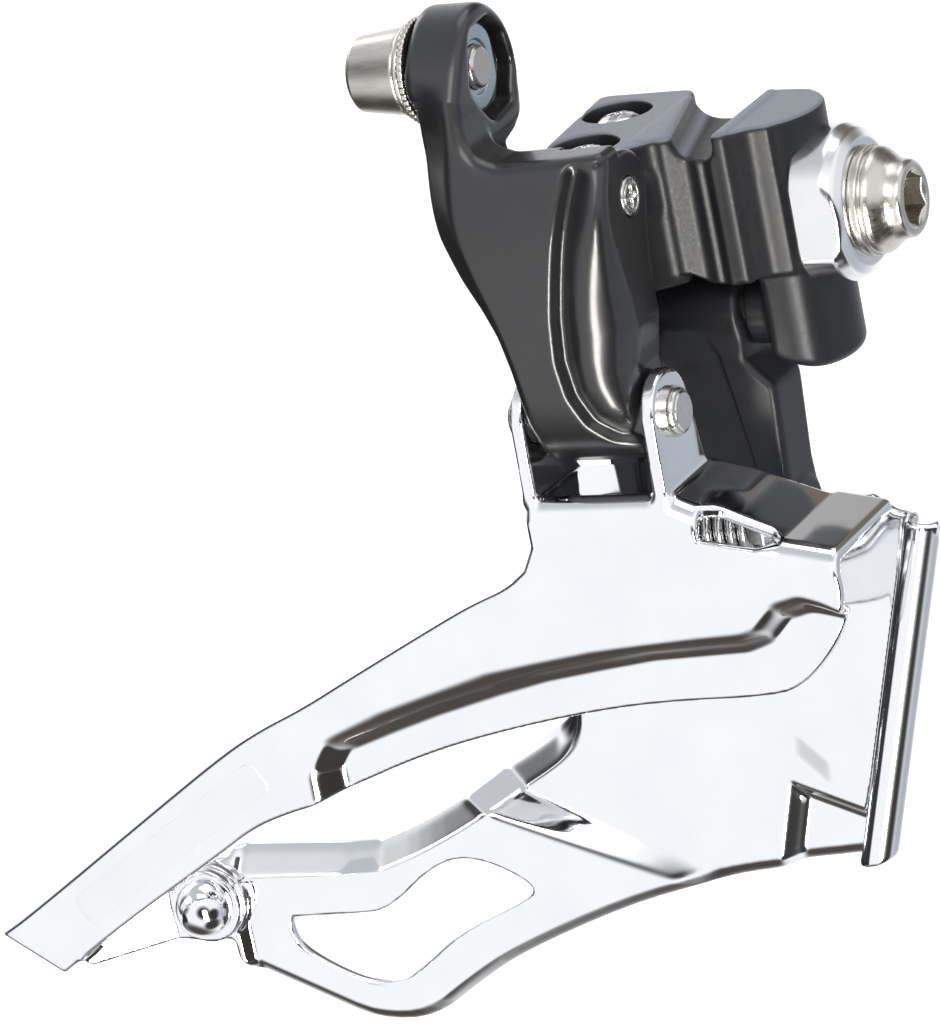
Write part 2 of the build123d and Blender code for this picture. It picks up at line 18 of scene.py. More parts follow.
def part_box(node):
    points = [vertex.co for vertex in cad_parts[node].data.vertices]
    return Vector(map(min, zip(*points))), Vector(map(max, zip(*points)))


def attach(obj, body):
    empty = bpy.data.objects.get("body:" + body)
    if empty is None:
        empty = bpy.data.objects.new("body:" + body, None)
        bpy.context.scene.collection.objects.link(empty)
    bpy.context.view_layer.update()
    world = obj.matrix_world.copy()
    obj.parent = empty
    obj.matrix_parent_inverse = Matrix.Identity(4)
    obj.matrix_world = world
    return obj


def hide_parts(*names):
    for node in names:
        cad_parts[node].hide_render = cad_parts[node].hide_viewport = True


MM = 0.001

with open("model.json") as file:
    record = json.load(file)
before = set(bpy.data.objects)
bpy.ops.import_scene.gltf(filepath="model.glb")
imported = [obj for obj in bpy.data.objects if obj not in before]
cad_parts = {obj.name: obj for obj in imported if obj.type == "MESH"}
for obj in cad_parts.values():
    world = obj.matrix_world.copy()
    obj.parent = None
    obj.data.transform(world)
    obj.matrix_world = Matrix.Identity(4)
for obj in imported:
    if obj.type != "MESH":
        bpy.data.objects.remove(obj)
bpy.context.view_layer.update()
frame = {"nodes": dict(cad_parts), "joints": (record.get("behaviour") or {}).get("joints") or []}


# ---- places, from the frame
def low(node):
    return np.array(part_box(node)[0]) / MM


def high(node):
    return np.array(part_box(node)[1]) / MM


def middle(node):
    return (low(node) + high(node)) / 2


def pivot(name):
    """(y, z) of a joint's axis, in millimetres."""
    joint = next(j for j in frame["joints"] if j["name"] == name)
    return np.array(joint["pos_m"][1:]) / MM


OUTER_TOP = pivot("outer_link_pivot")
OUTER_LOW = pivot("cage_pivot")
INNER_TOP = pivot("inner_link_pivot")
INNER_LOW = middle("inner_link_lower_pin")[1:]
CLAMP = middle("cable_clamp_bolt")[1:]
RIVET = middle("tail_rivet")[[0, 2]]
SHEET = 1.2                     # thickness of the cage's plates
PIN_RADIUS = 1.95
OUTER_FACE = low("outer_cage_plate")[1]
TAIL_FACE = high("tail_rivet")[1] - 0.9     # y of the inner plate's outboard face under the rivet
BRACKET_TOP = high("low_limit_screw")[2] + 0.8


# ---- signed distances
class Space:
    """Sample points of a box, from a low to a high corner, pitch apart, in millimetres."""

    def __init__(self, corner, far, pitch):
        self.corner, self.pitch = np.array(corner, float), pitch
        axes = []
        for axis in range(3):
            count = int(ceil((far[axis] - corner[axis]) / pitch)) + 1
            shape = [1, 1, 1]
            shape[axis] = count
            axes.append((corner[axis] + pitch * np.arange(count)).reshape(shape).astype(np.float32))
        self.x, self.y, self.z = axes


def join(a, b, blend=0.0):
    """Union of two distances, with a fillet of about that size."""
    if not blend:
        return np.minimum(a, b)
    near = np.maximum(blend - np.abs(a - b), 0) / blend
    return np.minimum(a, b) - near * near * blend / 4


def common(a, b, blend=0.0):
    return -join(-a, -b, blend)


def cut(a, b, blend=0.0):
    return -join(-a, b, blend)


def slab(u, low_end, high_end):
    return np.abs(u - (low_end + high_end) / 2) - (high_end - low_end) / 2


def prism(flat, along, edge=0.0):
    """Solid from a flat distance and the distance to its two end planes, with rounded edges."""
    flat, along = flat + edge, along + edge
    outside = np.sqrt(np.maximum(flat, 0) ** 2 + np.maximum(along, 0) ** 2)
    return outside + np.minimum(np.maximum(flat, along), 0) - edge


def brick(space, x, y, z, edge=0.0):
    parts = [slab(u, *ends) + edge for u, ends in ((space.x, x), (space.y, y), (space.z, z))]
    outside = np.sqrt(sum(np.maximum(p, 0) ** 2 for p in parts))
    inside = np.minimum(np.maximum(np.maximum(parts[0], parts[1]), parts[2]), 0)
    return outside + inside - edge


def circle(u, v, centre, radius):
    return np.sqrt((u - centre[0]) ** 2 + (v - centre[1]) ** 2) - radius


def rod_x(space, x, centre, radius, edge=0.0):
    return prism(circle(space.y, space.z, centre, radius), slab(space.x, *x), edge)


def rod_y(space, y, centre, radius, edge=0.0):
    return prism(circle(space.x, space.z, centre, radius), slab(space.y, *y), edge)


def rod_z(space, z, centre, radius, edge=0.0):
    return prism(circle(space.x, space.y, centre, radius), slab(space.z, *z), edge)


def smooth(low_end, high_end, u):
    """0 below low_end, 1 above high_end, and an even curve between."""
    t = np.clip((u - low_end) / (high_end - low_end), 0, 1)
    return t * t * (3 - 2 * t)


def curve(points, u):
    """A smooth curve through (u, value) points in rising order of u, read at u."""
    at, value = np.array(points, float).T
    slope = np.gradient(value, at)
    i = np.clip(np.searchsorted(at, u) - 1, 0, len(at) - 2)
    step = at[i + 1] - at[i]
    t = np.clip((u - at[i]) / step, 0, 1)
    a, b = value[i], value[i + 1]
    return (
        a * (1 + 2 * t) * (1 - t) ** 2 + b * t * t * (3 - 2 * t)
        + step * (slope[i] * t * (1 - t) ** 2 - slope[i + 1] * t * t * (1 - t))
    ).astype(np.float32)


def rounded(corners, radius, step=10.0):
    """Closed outline with its corners rounded. radius is one number or one for each corner."""
    corners = [np.array(c, float) for c in corners]
    count = len(corners)
    radii = radius if isinstance(radius, (list, tuple)) else [radius] * count
    ring = []
    for i, here in enumerate(corners):
        back, on = corners[i - 1] - here, corners[(i + 1) % count] - here
        back_length, on_length = np.linalg.norm(back), np.linalg.norm(on)
        back, on = back / back_length, on / on_length
        half = acos(np.clip(back @ on, -1, 1)) / 2
        r = min(radii[i], 0.49 * min(back_length, on_length) * np.tan(half))
        if half > pi / 2 - 0.02 or r < 0.01:
            ring.append(here)
            continue
        centre = here + (back + on) / np.linalg.norm(back + on) * r / sin(half)
        first = here + back * r / np.tan(half) - centre
        last = here + on * r / np.tan(half) - centre
        turn = pi - 2 * half
        count_on_arc = max(2, int(degrees(turn) / step) + 1)
        for k in range(count_on_arc + 1):
            t = k / count_on_arc
            ring.append(centre + (sin((1 - t) * turn) * first + sin(t * turn) * last) / sin(turn))
    return ring


def supple(points, rounds=2):
    """The open line of points with its kinks evened out. Its ends stay."""
    points = [np.array(p, float) for p in points]
    for _ in range(rounds):
        line = [points[0]]
        for a, b in zip(points, points[1:]):
            line += [a * 0.75 + b * 0.25, a * 0.25 + b * 0.75]
        points = line + [points[-1]]
    return points


def path(u, v, points):
    """Distance to an open line of straight stretches in (u, v)."""
    nearest = 1e9
    for (ax, ay), (bx, by) in zip(points, points[1:]):
        ex, ey = bx - ax, by - ay
        wx, wy = u - ax, v - ay
        t = np.clip((wx * ex + wy * ey) / (ex * ex + ey * ey), 0, 1)
        nearest = np.minimum(nearest, (wx - ex * t) ** 2 + (wy - ey * t) ** 2)
    return np.sqrt(nearest)


def polygon(u, v, ring):
    """Signed distance to a closed outline in (u, v). No point of the ring may be there twice in a row."""
    ring = ring + ring[:1]
    inside = np.zeros(np.broadcast(u, v).shape, bool)
    for (ax, ay), (bx, by) in zip(ring, ring[1:]):
        if ay != by:
            inside ^= ((ay > v) != (by > v)) & (u < (bx - ax) * (v - ay) / (by - ay) + ax)
    return np.where(inside, -1, 1) * path(u, v, ring)


def shifted_polygon(space, y, ring):
    """Distance to an outline in (y, z), read at a y that differs from place to place."""
    fine = np.linspace(y.min(), y.max(), 2 * space.y.size)
    table = polygon(fine[:, None], space.z[0, 0][None, :], ring)
    field = np.empty(np.broadcast(space.x, space.y, space.z).shape, np.float32)
    y = np.broadcast_to(y, field.shape)
    for k in range(space.z.size):
        field[:, :, k] = np.interp(y[:, :, k], fine, table[:, k])
    return field


def soften(height, reach, pitch):
    """A height map over (x, z), evened out over about reach millimetres as a bend in sheet is."""
    cells = reach / pitch
    steps = np.arange(-int(2.5 * cells) - 1, int(2.5 * cells) + 2)
    weights = np.exp(-0.5 * (steps / cells) ** 2)
    weights /= weights.sum()
    for axis in (0, 2):
        count = height.shape[axis]
        total = 0
        for step, weight in zip(steps, weights):
            moved = np.clip(np.arange(count) + step, 0, count - 1)
            total = total + weight * np.take(height, moved, axis=axis)
        height = total
    return height


# ---- meshes
def read(field, at):
    """The field between its samples, at points given in steps of the grid."""
    top = np.array(field.shape) - 2
    cell = np.clip(np.floor(at).astype(int), 0, top)
    part = np.clip(at - cell, 0, 1)
    value = 0
    for corner in np.ndindex(2, 2, 2):
        weight = np.prod(np.where(corner, part, 1 - part), axis=1)
        i, j, k = (cell + corner).T
        value = value + weight * field[i, j, k]
    return value


def slopes(field, at, reach=0.7):
    """Unit slopes of the field, which are the surface's normals."""
    found = []
    for axis in range(3):
        step = np.zeros(3)
        step[axis] = reach
        found.append(read(field, at + step) - read(field, at - step))
    found = np.stack(found, axis=1)
    return found / np.maximum(np.linalg.norm(found, axis=1, keepdims=True), 1e-9)


def mesh_of(name, points, faces):
    """Mesh of points given in millimetres."""
    mesh = bpy.data.meshes.new(name)
    mesh.from_pydata([Vector(p) * MM for p in points], [], faces)
    return mesh


def bands(rows, count):
    """Quads between each of the rows and the next. Every row is a closed ring of count points."""
    faces = []
    for row in range(rows - 1):
        for k in range(count):
            on = (k + 1) % count
            faces.append((row * count + k, row * count + on, (row + 1) * count + on, (row + 1) * count + k))
    return faces


def placed(name, data):
    """Object of a mesh, light or camera, in the scene."""
    thing = bpy.data.objects.new(name, data)
    bpy.context.scene.collection.objects.link(thing)
    return thing


def new_object(name, mesh, finish, body, node):
    """Piece that moves with a body and stands for a CAD node."""
    material, slot = FINISHES[finish]
    piece = placed(name, mesh)
    mesh.materials.append(material)
    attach(piece, body)
    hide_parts(node)


def skin(name, space, field, finish, body, node):
    """The surface at distance 0 as a piece that stands for a CAD node."""
    reach = 3 * space.pitch
    field = np.broadcast_to(field, [space.x.size, space.y.size, space.z.size])
    field = np.clip(field, -reach, reach).astype(np.float32)
    grid = openvdb.FloatGrid(reach)
    grid.copyFromArray(np.ascontiguousarray(field))
    points, faces = grid.convertToQuads(isovalue=0)
    normals = slopes(field, points)
    faces = faces[:, ::-1]
    a, b, c = (points[faces[:, i]] for i in range(3))
    facing = np.einsum("ij,ij->i", np.cross(b - a, c - a), normals[faces[:, 0]])
    if np.median(facing) < 0:
        faces = faces[:, ::-1]
    mesh = bpy.data.meshes.new(name)
    mesh.from_pydata((points * space.pitch + space.corner) * MM, [], faces)
    mesh.validate()
    mesh.shade_smooth()
    if len(mesh.vertices) == len(normals):
        mesh.normals_split_custom_set_from_vertices(normals)
    new_object(name, mesh, finish, body, node)


# ---- finishes
FINISHES = {}                   # name: (material, slot)


def node_of(tree, kind, **values):
    node = tree.nodes.new(kind)
    for key, value in values.items():
        if key in node.inputs:
            node.inputs[key].default_value = value
        else:
            setattr(node, key, value)
    return node


def noise(tree, scale, detail=3.0, stretch=None):
    """Noise over the object's own coordinates. stretch squeezes it along an axis, as brushing does."""
    place = node_of(tree, "ShaderNodeTexCoord")
    texture = node_of(tree, "ShaderNodeTexNoise", Scale=scale, Detail=detail, Roughness=0.6)
    source = place.outputs["Object"]
    if stretch:
        mapping = node_of(tree, "ShaderNodeMapping")
        mapping.inputs["Scale"].default_value = stretch
        tree.links.new(source, mapping.inputs["Vector"])
        source = mapping.outputs["Vector"]
    tree.links.new(source, texture.inputs["Vector"])
    return texture.outputs["Fac"]


def spread(tree, value, to, source=(0.3, 0.7), **settings):
    """value, mapped from one range of numbers to another."""
    node = node_of(tree, "ShaderNodeMapRange", **settings)
    for side, ends in (("From", source), ("To", to)):
        node.inputs[side + " Min"].default_value, node.inputs[side + " Max"].default_value = ends
    tree.links.new(value, node.inputs["Value"])
    return node.outputs["Result"]


def mixed(tree, factor, base, other):
    """Colour from base to other by factor. base is a colour, or what another node gives."""
    mix = node_of(tree, "ShaderNodeMix", data_type="RGBA")
    if isinstance(base, tuple):
        mix.inputs["A"].default_value = (*base, 1)
    else:
        tree.links.new(base, mix.inputs["A"])
    mix.inputs["B"].default_value = (*other, 1)
    tree.links.new(factor, mix.inputs["Factor"])
    return mix.outputs["Result"]


def finish(name, slot, dark, light, metal, rough, grain, bump, depth,
           stretch=None, coat=0.0, coat_rough=0.03, shine=0.5):
    """A surface whose colour and roughness vary between two values, with fine grain in its relief.

    grain is the scale of the relief's noise, and depth its height in millimetres.
    """
    material = bpy.data.materials.new(name)
    material.use_nodes = True
    tree = material.node_tree
    shader = tree.nodes["Principled BSDF"]
    shader.inputs["Metallic"].default_value = metal
    shader.inputs["Coat Weight"].default_value = coat
    shader.inputs["Specular IOR Level"].default_value = shine
    shader.inputs["Coat Roughness"].default_value = coat_rough
    colour = mixed(tree, spread(tree, noise(tree, 120.0), (0.0, 1.0)), dark, light)
    tree.links.new(colour, shader.inputs["Base Color"])
    fine = noise(tree, grain, 2.0, stretch)
    tree.links.new(spread(tree, fine, rough), shader.inputs["Roughness"])
    relief = node_of(tree, "ShaderNodeBump", Strength=bump, Distance=depth * MM)
    tree.links.new(fine, relief.inputs["Height"])
    tree.links.new(relief.outputs["Normal"], shader.inputs["Normal"])
    FINISHES[name] = material, slot


finish("chrome", "chrome_cage", (0.90, 0.91, 0.93), (0.95, 0.955, 0.965),
       1.0, (0.05, 0.085), 900.0, 0.05, 0.004)
finish("gloss_black", "gloss_black", (0.010, 0.010, 0.011), (0.014, 0.014, 0.016),
       0.0, (0.30, 0.38), 1500.0, 0.06, 0.005, coat=0.75, coat_rough=0.17)
finish("satin_black", "black_cast", (0.016, 0.017, 0.020), (0.022, 0.023, 0.027),
       0.0, (0.32, 0.44), 3500.0, 0.30, 0.012, shine=0.36)
finish("nickel", "satin_nickel", (0.60, 0.57, 0.53), (0.68, 0.65, 0.60),
       1.0, (0.20, 0.30), 2600.0, 0.12, 0.006, stretch=(0.12, 1, 1))
finish("bright_aluminium", "polished_aluminium", (0.86, 0.86, 0.87), (0.92, 0.92, 0.92),
       1.0, (0.12, 0.20), 2200.0, 0.10, 0.006, stretch=(1, 1, 0.15))
finish("zinc", "zinc_plate", (0.50, 0.56, 0.60), (0.60, 0.65, 0.68),
       1.0, (0.26, 0.38), 2400.0, 0.25, 0.010)
finish("pin_steel", "pin_steel", (0.66, 0.65, 0.62), (0.76, 0.75, 0.72),
       1.0, (0.18, 0.34), 2800.0, 0.35, 0.012)
finish("screw_steel", "screw_steel", (0.74, 0.74, 0.75), (0.82, 0.82, 0.82),
       1.0, (0.12, 0.2), 2400.0, 0.15, 0.006)
finish("spring_steel", "spring_steel", (0.50, 0.50, 0.51), (0.62, 0.61, 0.60),
       1.0, (0.18, 0.3), 2600.0, 0.2, 0.008)
finish("bush", "bush", (0.05, 0.05, 0.055), (0.08, 0.08, 0.085),
       0.0, (0.4, 0.55), 3000.0, 0.3, 0.01)
finish("sleeve", "sleeve", (0.70, 0.69, 0.65), (0.76, 0.75, 0.71),
       0.0, (0.35, 0.5), 2500.0, 0.2, 0.01)
finish("label", "label", (0.80, 0.81, 0.82), (0.84, 0.85, 0.86),
       0.2, (0.30, 0.36), 400.0, 0.02, 0.002)


# ---- outer cage plate
CHANNEL_DEPTH = 2.6             # of the stamped channel, inboard
BEND = 1.9                      # radius of the fold from the plate into its top web
WEB = OUTER_LOW[1] - 7.9        # z of the middle of the top web's thickness
NOSE_FOLD = (-0.9, -27.0)       # where the sloping cover meets the nose bridge
NOSE_END = (5.2, -28.2)         # where the bridge ends, both in (x, z)


def plate_edge():
    """Edge of the outer plate, in (x, z)."""
    nose = [(4.9, -26.9), (5.3, -29.6), (5.6, -32.2), (4.6, -35.4), (2.2, -39.2), (-1.4, -42.6)]
    nose += [(-4.8, -44.0)]
    lower = [(-18.2, -44.4), (-28.2, -45.7), (-40.2, -48.2), (-47.6, -50.4), (-53.9, -52.8), (-57.2, -53.9)]
    lower += [(-62.7, -55.4), (-66.5, -56.9), (-70.8, -59.6), (-84.5, -67.7), (-92.9, -73.2)]
    upper = [(-99.6, -68.6), (-95.5, -66.2), (-75.9, -53.3), (-67.5, -47.9), (-62.8, -45.4), (-57.6, -43.2)]
    upper += [(-51.0, -39.8), (-40.0, -34.3), (-35.6, -32.2), (-31.3, -30.6), (-28.9, -28.8), (-27.6, -26.4)]
    upper += [(-27.6, -18.0), (-8.0, -18.0), (0.0, -24.0)]
    return rounded(supple(nose + lower) + supple(upper[:-4]) + upper[-4:], 0.9)


def channel(x, z):
    """Depth of the stamped channel over (x, z)."""
    rim = rounded([
        (-58.9, -70), (-58.9, -50.2), (-56.4, -46.6), (-49.4, -43.6), (-36.1, -39.4), (-23.6, -37.3),
        (-11.5, -36.1), (-6.2, -35.7), (-2.9, -32.6), (0.5, -31.8), (3.0, -32.6), (9, -35.6), (9, -70),
    ], 3.0)
    floor = rounded([
        (-54.8, -70), (-54.9, -50.6), (-53.4, -48.8), (-42.7, -45.3), (-29.7, -41.8), (-17.3, -39.7),
        (-6.8, -39.1), (-3.6, -38.0), (-1.3, -35.6), (1.0, -34.9), (4.0, -35.4), (9, -37.6), (9, -70),
    ], 1.4)
    inside = np.maximum(-polygon(x, z, rim), 0)
    left = np.maximum(polygon(x, z, floor), 0)
    share = inside / (inside + left + 1e-6)
    return CHANNEL_DEPTH * share * share * (3 - 2 * share)


def steepness(depth, pitch):
    """Length of the slope's unit step, which keeps a shifted sheet's thickness even."""
    along, up = np.gradient(depth[:, 0, :], pitch)
    return np.sqrt(1 + along ** 2 + up ** 2)[:, None, :]


def fold(a, b, radius):
    """Distance to the corner where two half spaces meet, rounded."""
    a, b = a + radius, b + radius
    return np.minimum(np.maximum(a, b), 0) + np.sqrt(np.maximum(a, 0) ** 2 + np.maximum(b, 0) ** 2) - radius


def ear(space, x, centre, radius, neck):
    """Sheet ear, round about a pivot. neck is the (y, z) ring of what joins it to its plate."""
    flat = np.minimum(circle(space.y, space.z, centre, radius), polygon(space.y, space.z, neck))
    return prism(flat, slab(space.x, *x), 0.28)


def build_outer_plate():
    space = Space((-101, -27, -75), (7, -8, -8.6), 0.25)
    x, y, z = space.x, space.y, space.z
    depth = soften(channel(x, z), 0.35, space.pitch)
    middle_y = OUTER_FACE + SHEET / 2
    crest = np.interp(
        x, [-30, -12.2, NOSE_FOLD[0], NOSE_END[0]], [WEB, WEB, NOSE_FOLD[1] - 0.6, NOSE_END[1] - 0.6])
    inward = (middle_y + depth - y) / steepness(depth, space.pitch)
    sheet = np.abs(fold(inward, (z - crest) * 0.93, BEND)) - SHEET / 2
    trim = polygon(x, z, plate_edge())
    plan = rounded([
        (-104, -30), (-104, -19.0), (-27.6, -19.0), (-27.6, -15.2), (-26.0, -14.2), (-14.0, -13.6),
        (-12.6, -12.8), (-10.4, -12.4), (-8.4, -11.6), (-2.0, -10.6), (-0.9, -10.4), (-0.9, -9.6),
        (8, -9.6), (8, -30),
    ], 0.9)
    roof = polygon(x, y, plan)
    plate = common(common(sheet, trim, 0.5), roof, 0.5)
    window = rounded(
        [(-9.2, -28), (-9.0, -23.8), (-7.6, -22.3), (-2.0, -22.3), (-1.2, -23.2), (-0.8, -28)], 1.0)
    notch = np.interp(x, [-14, -9.4, -3.4, 0], [-25.4, -26.2, -27.4, -27.2])
    plate = cut(plate, prism(polygon(x, y, window), notch - z), 0.4)
    radius = 4.4
    neck = rounded([
        (OUTER_LOW[0] - radius, OUTER_LOW[1]), (-24.4, WEB), (-13.9, WEB),
        (OUTER_LOW[0] + radius, OUTER_LOW[1]),
    ], 0.2)
    front, rear = (ear(space, ends, OUTER_LOW, radius, neck) for ends in ((-13.5, -12.0), (-28.0, -26.5)))
    plate = join(plate, join(front, rear), 0.9)
    return space, join(plate, tail_tab(space), 0.8)


def tail_tab(space):
    """Web that leads inboard from the plate's lower edge to the round end under the rivet."""
    x, y, z = space.x, space.y, space.z
    face = TAIL_FACE - SHEET
    line = path(x, y, [(-91.0, OUTER_FACE + 0.9), (-81.8, face - SHEET / 2), (RIVET[0], face - SHEET / 2)])
    side = rounded([
        (-92.6, -73.0), (-84.2, -67.2), (RIVET[0], RIVET[1] + 4.0), (RIVET[0], RIVET[1] - 4.0),
        (-82.0, -71.9),
    ], 0.8)
    web = common(line - SHEET / 2, polygon(x, z, side), 0.3)
    return join(web, rod_y(space, (face - SHEET, face), RIVET, 4.1, 0.25), 0.3)


# ---- inner cage plate
INNER_FACE = -10.6              # y of the outboard face of its flat front
LEAN = 11.4 / 36                # x per z of the rolled front edge
ROLL_START = 17.4               # x of that edge's line at z = 0
ROLL_RADIUS = 1.9


def inner_edge():
    """Edge of the inner plate, in (x, z)."""
    front = [(3.2, -27.7), (5.4, -29.4), (12.0, -30.9), (1.4, -64.0), (-0.4, -66.6), (-3.6, -67.4)]
    lower = [(-16.7, -68.6), (-23.0, -69.8), (-32.2, -71.8), (-44.3, -76.2), (-49.5, -79.1), (-55.5, -83.1)]
    lower += [(-61.6, -82.9), (-68.0, -79.9), (-74.6, -76.8), (-75.8, -74.8), (-75.9, -72.6), (-82.4, -72.4)]
    upper = [(-82.4, -64.2), (-75.9, -63.9), (-75.6, -63.2), (-58.5, -63.1), (-53.4, -61.3), (-47.2, -58.2)]
    upper += [(-40.0, -54.4), (-36.4, -51.8), (-33.6, -49.0), (-31.6, -45.0), (-30.4, -40.0), (-30.0, -27.7)]
    tail, upper = lower[8:] + upper[:3], upper[3:]
    corners = front[:3] + supple(front[3:] + lower[:8]) + tail + supple(upper[:-1]) + upper[-1:]
    return rounded(corners, 0.6)


def kidney():
    """Edge of the lightening hole near the tail, in (x, z)."""
    hole = [
        (-68.9, -70.6), (-62.0, -70.2), (-57.7, -70.2), (-51.4, -65.0), (-46.7, -64.8), (-40.9, -68.6),
        (-43.0, -70.1), (-50.2, -72.9), (-54.7, -76.3), (-58.1, -78.4), (-62.6, -77.7), (-68.4, -74.4),
        (-69.4, -72.0), (-68.9, -70.6),
    ]
    return supple(hole, 3)[:-1]


def inner_face(x, z):
    """y of the plate's outboard face: a flat front, a slanted crease, and a leaf set back behind it."""
    (ax, az), (bx, bz) = (-45.0, -57.6), (-18.2, -69.9)     # the crease's ends
    ex, ez = bx - ax, bz - az
    below = ((x - ax) * ez - (z - az) * ex) / sqrt(ex * ex + ez * ez)
    leaf = np.interp(x, [-62.0, -20.0], [TAIL_FACE, INNER_FACE])
    face = INNER_FACE + (leaf - INNER_FACE) * np.clip((below + 0.2) / 2.6, 0, 1)
    over = z - np.interp(x, [-33.0, -10.4, -6.8, -2.6], [-46.5, -55.8, -59.4, -61.3])
    face = face + 0.16 * np.clip(over, 0, 3.2) * smooth(-34, -28, x)
    pocket = rounded([(-16.8, -75), (-11.6, -58.0), (6, -65.0), (6, -75)], 0.3)
    return face + np.clip(-polygon(x, z, pocket), 0, 1.9)


def rims(x, z, ring):
    """How far the plate's top and bottom edges turn inboard, from the distance to its outline."""
    top = path(x, z, stretch(ring, (-75.6, -63.2), (-34.0, -49.6)))
    turned = 0.95 * np.clip(3.1 - top, 0, 4) * smooth(-33.0, -38.0, x)
    foot = path(x, z, stretch(ring, (-3.6, -67.4), (-72.0, -78.0)))
    return turned + 0.8 * np.clip(1.6 - foot, 0, 3) * smooth(-0.6, -3.0, x)


def stretch(ring, first, last):
    """Part of a ring, from the corner nearest to one point to the corner nearest to another."""
    start, end = (
        int(np.argmin([np.hypot(*(corner - np.array(point))) for corner in ring])) for point in (first, last))
    return ring[start:end + 1] if start <= end else ring[start:] + ring[:end + 1]


def build_inner_plate():
    space = Space((-83, -21.5, -84), (10, -6.5, -26), 0.25)
    x, y, z = space.x, space.y, space.z
    ring = inner_edge()
    trim = polygon(x, z, ring)
    face = inner_face(x, z) + rims(x, z, ring) - 1.2 * smooth(-74.2, -75.8, x)
    face = soften(face, 0.3, space.pitch)
    sheet = np.abs(y - face - SHEET / 2) / steepness(face, space.pitch) - SHEET / 2
    across = (x - LEAN * z - ROLL_START) * cos(atan2(LEAN, 1))
    wall = SHEET * 0.85
    round_edge = circle(across, y, (0.7, INNER_FACE + 0.1), ROLL_RADIUS)
    tube = common(np.abs(round_edge + wall / 2) - wall / 2, y - INNER_FACE - 0.7, 0.3)
    plate = common(sheet, across + 0.2, 0.3)
    plate = join(common(plate, trim, 0.5), common(tube, trim, 0.5), 0.5)
    plate = cut(plate, polygon(x, z, kidney()), 0.45)
    notch = rounded([(-23.8, -20), (-23.8, -35.5), (-10.0, -35.5), (-10.0, -20)], 1.5)
    plate = cut(plate, polygon(x, z, notch), 0.4)
    plate = join(plate, rod_y(space, (TAIL_FACE - SHEET, TAIL_FACE), RIVET, 4.3, 0.25), 0.3)
    radius, root, (low_y, low_z) = 4.2, INNER_FACE + 0.4, INNER_LOW
    neck = rounded(
        [(root, low_z + 3.2), (root, low_z - 7.0), (low_y, low_z - radius), (low_y, low_z + radius)], 0.3)
    for ends in ((-6.6, -5.4), (-28.6, -27.4)):
        plate = join(plate, ear(space, ends, INNER_LOW, radius, neck), 0.9)
    return space, plate


# ---- turned pieces
def spun(space, centre, ring):
    """Solid of a closed (x, radius) outline spun about a line parallel to X."""
    return polygon(space.x, circle(space.y, space.z, centre, 0), ring)


def around(centre, x, radius, pitch):
    """Sample points that enclose a turned piece."""
    gap = 4 * pitch
    near = (x[0] - gap, centre[0] - radius - gap, centre[1] - radius - gap)
    far = (x[1] + gap, centre[0] + radius + gap, centre[1] + radius + gap)
    return Space(near, far, pitch)


def hexagon(u, v, across_flats):
    """Distance to a hexagon about (0, 0)."""
    sides = [np.abs(u * cos(k * pi / 3) + v * sin(k * pi / 3)) for k in range(3)]
    return np.maximum(np.maximum(sides[0], sides[1]), sides[2]) - across_flats / 2


def seat_washer():
    """Flat-sided round washer, hollow behind, with a turned bevel round its front face."""
    back = low("radius_washer")[0]
    space = around((0, 0), (back, 4.0), 8.0, 0.14)
    ring = rounded(
        [(back, 0), (back, 8.0), (2.2, 8.0), (3.3, 7.4), (4.0, 6.4), (4.0, 0)], [0, 0.3, 0.8, 0.8, 0.4, 0])
    body = common(spun(space, (0, 0), ring), np.abs(space.y) - 7.1, 0.3)
    body = cut(body, circle(space.x, space.y, (-7.2, 0), 7.2), 0.2)
    return space, cut(body, circle(space.y, space.z, (0, 0), 2.75), 0.2)


def seat_bolt():
    """Flanged bolt with a hollow-flanked bell head and a hex socket."""
    space = around((0, 0), (-8.2, 9.2), 5.7, 0.12)
    shank = [(-8.2, 0), (-8.2, 2.1), (-7.8, 2.5), (4.02, 2.5), (4.02, 5.5), (4.15, 5.62), (4.85, 5.62)]
    flank = [(5.0, 5.6), (5.12, 5.22), (5.3, 5.2), (5.42, 5.42), (5.75, 5.4), (6.1, 5.25), (6.45, 5.0)]
    flank += [(6.8, 4.7), (7.15, 4.42), (7.5, 4.2), (7.9, 4.06), (8.3, 3.98), (8.65, 3.95), (8.9, 3.85)]
    flank += [(9.1, 3.6), (9.2, 3.2), (9.2, 0)]
    body = spun(space, (0, 0), shank + flank)
    pitch = 0.8
    body = body + 0.22 * np.abs(((space.x / pitch) % 1) - 0.5) * 2 * (space.x < 3.6)
    socket = prism(hexagon(space.y, space.z, 5.0), slab(space.x, 5.4, 12), 0.1)
    cone = spun(space, (0, 0), [(8.75, 0), (8.75, 2.5), (9.4, 3.3), (9.4, 0)])
    return space, cut(body, join(socket, cone), 0.15)


def clamp_cap():
    """Tapered round cap behind the arm with a hex socket, and the shank that reaches the nut."""
    rear = low("cable_clamp_washer")[0]
    end = rear - 6.0
    space = around(CLAMP, (end, -28.2), 4.7, 0.13)
    ring = [(end, 0), (end, 3.3), (end + 0.45, 3.85), (rear - 0.35, 4.5), (rear, 4.25), (rear, 2.2)]
    ring += [(-28.6, 2.2), (-28.25, 1.9), (-28.25, 0)]
    outline = hexagon(space.y - CLAMP[0], space.z - CLAMP[1], 5.0)
    socket = prism(outline, slab(space.x, end - 3, end + 3.2), 0.1)
    return space, cut(spun(space, CLAMP, ring), socket, 0.25)


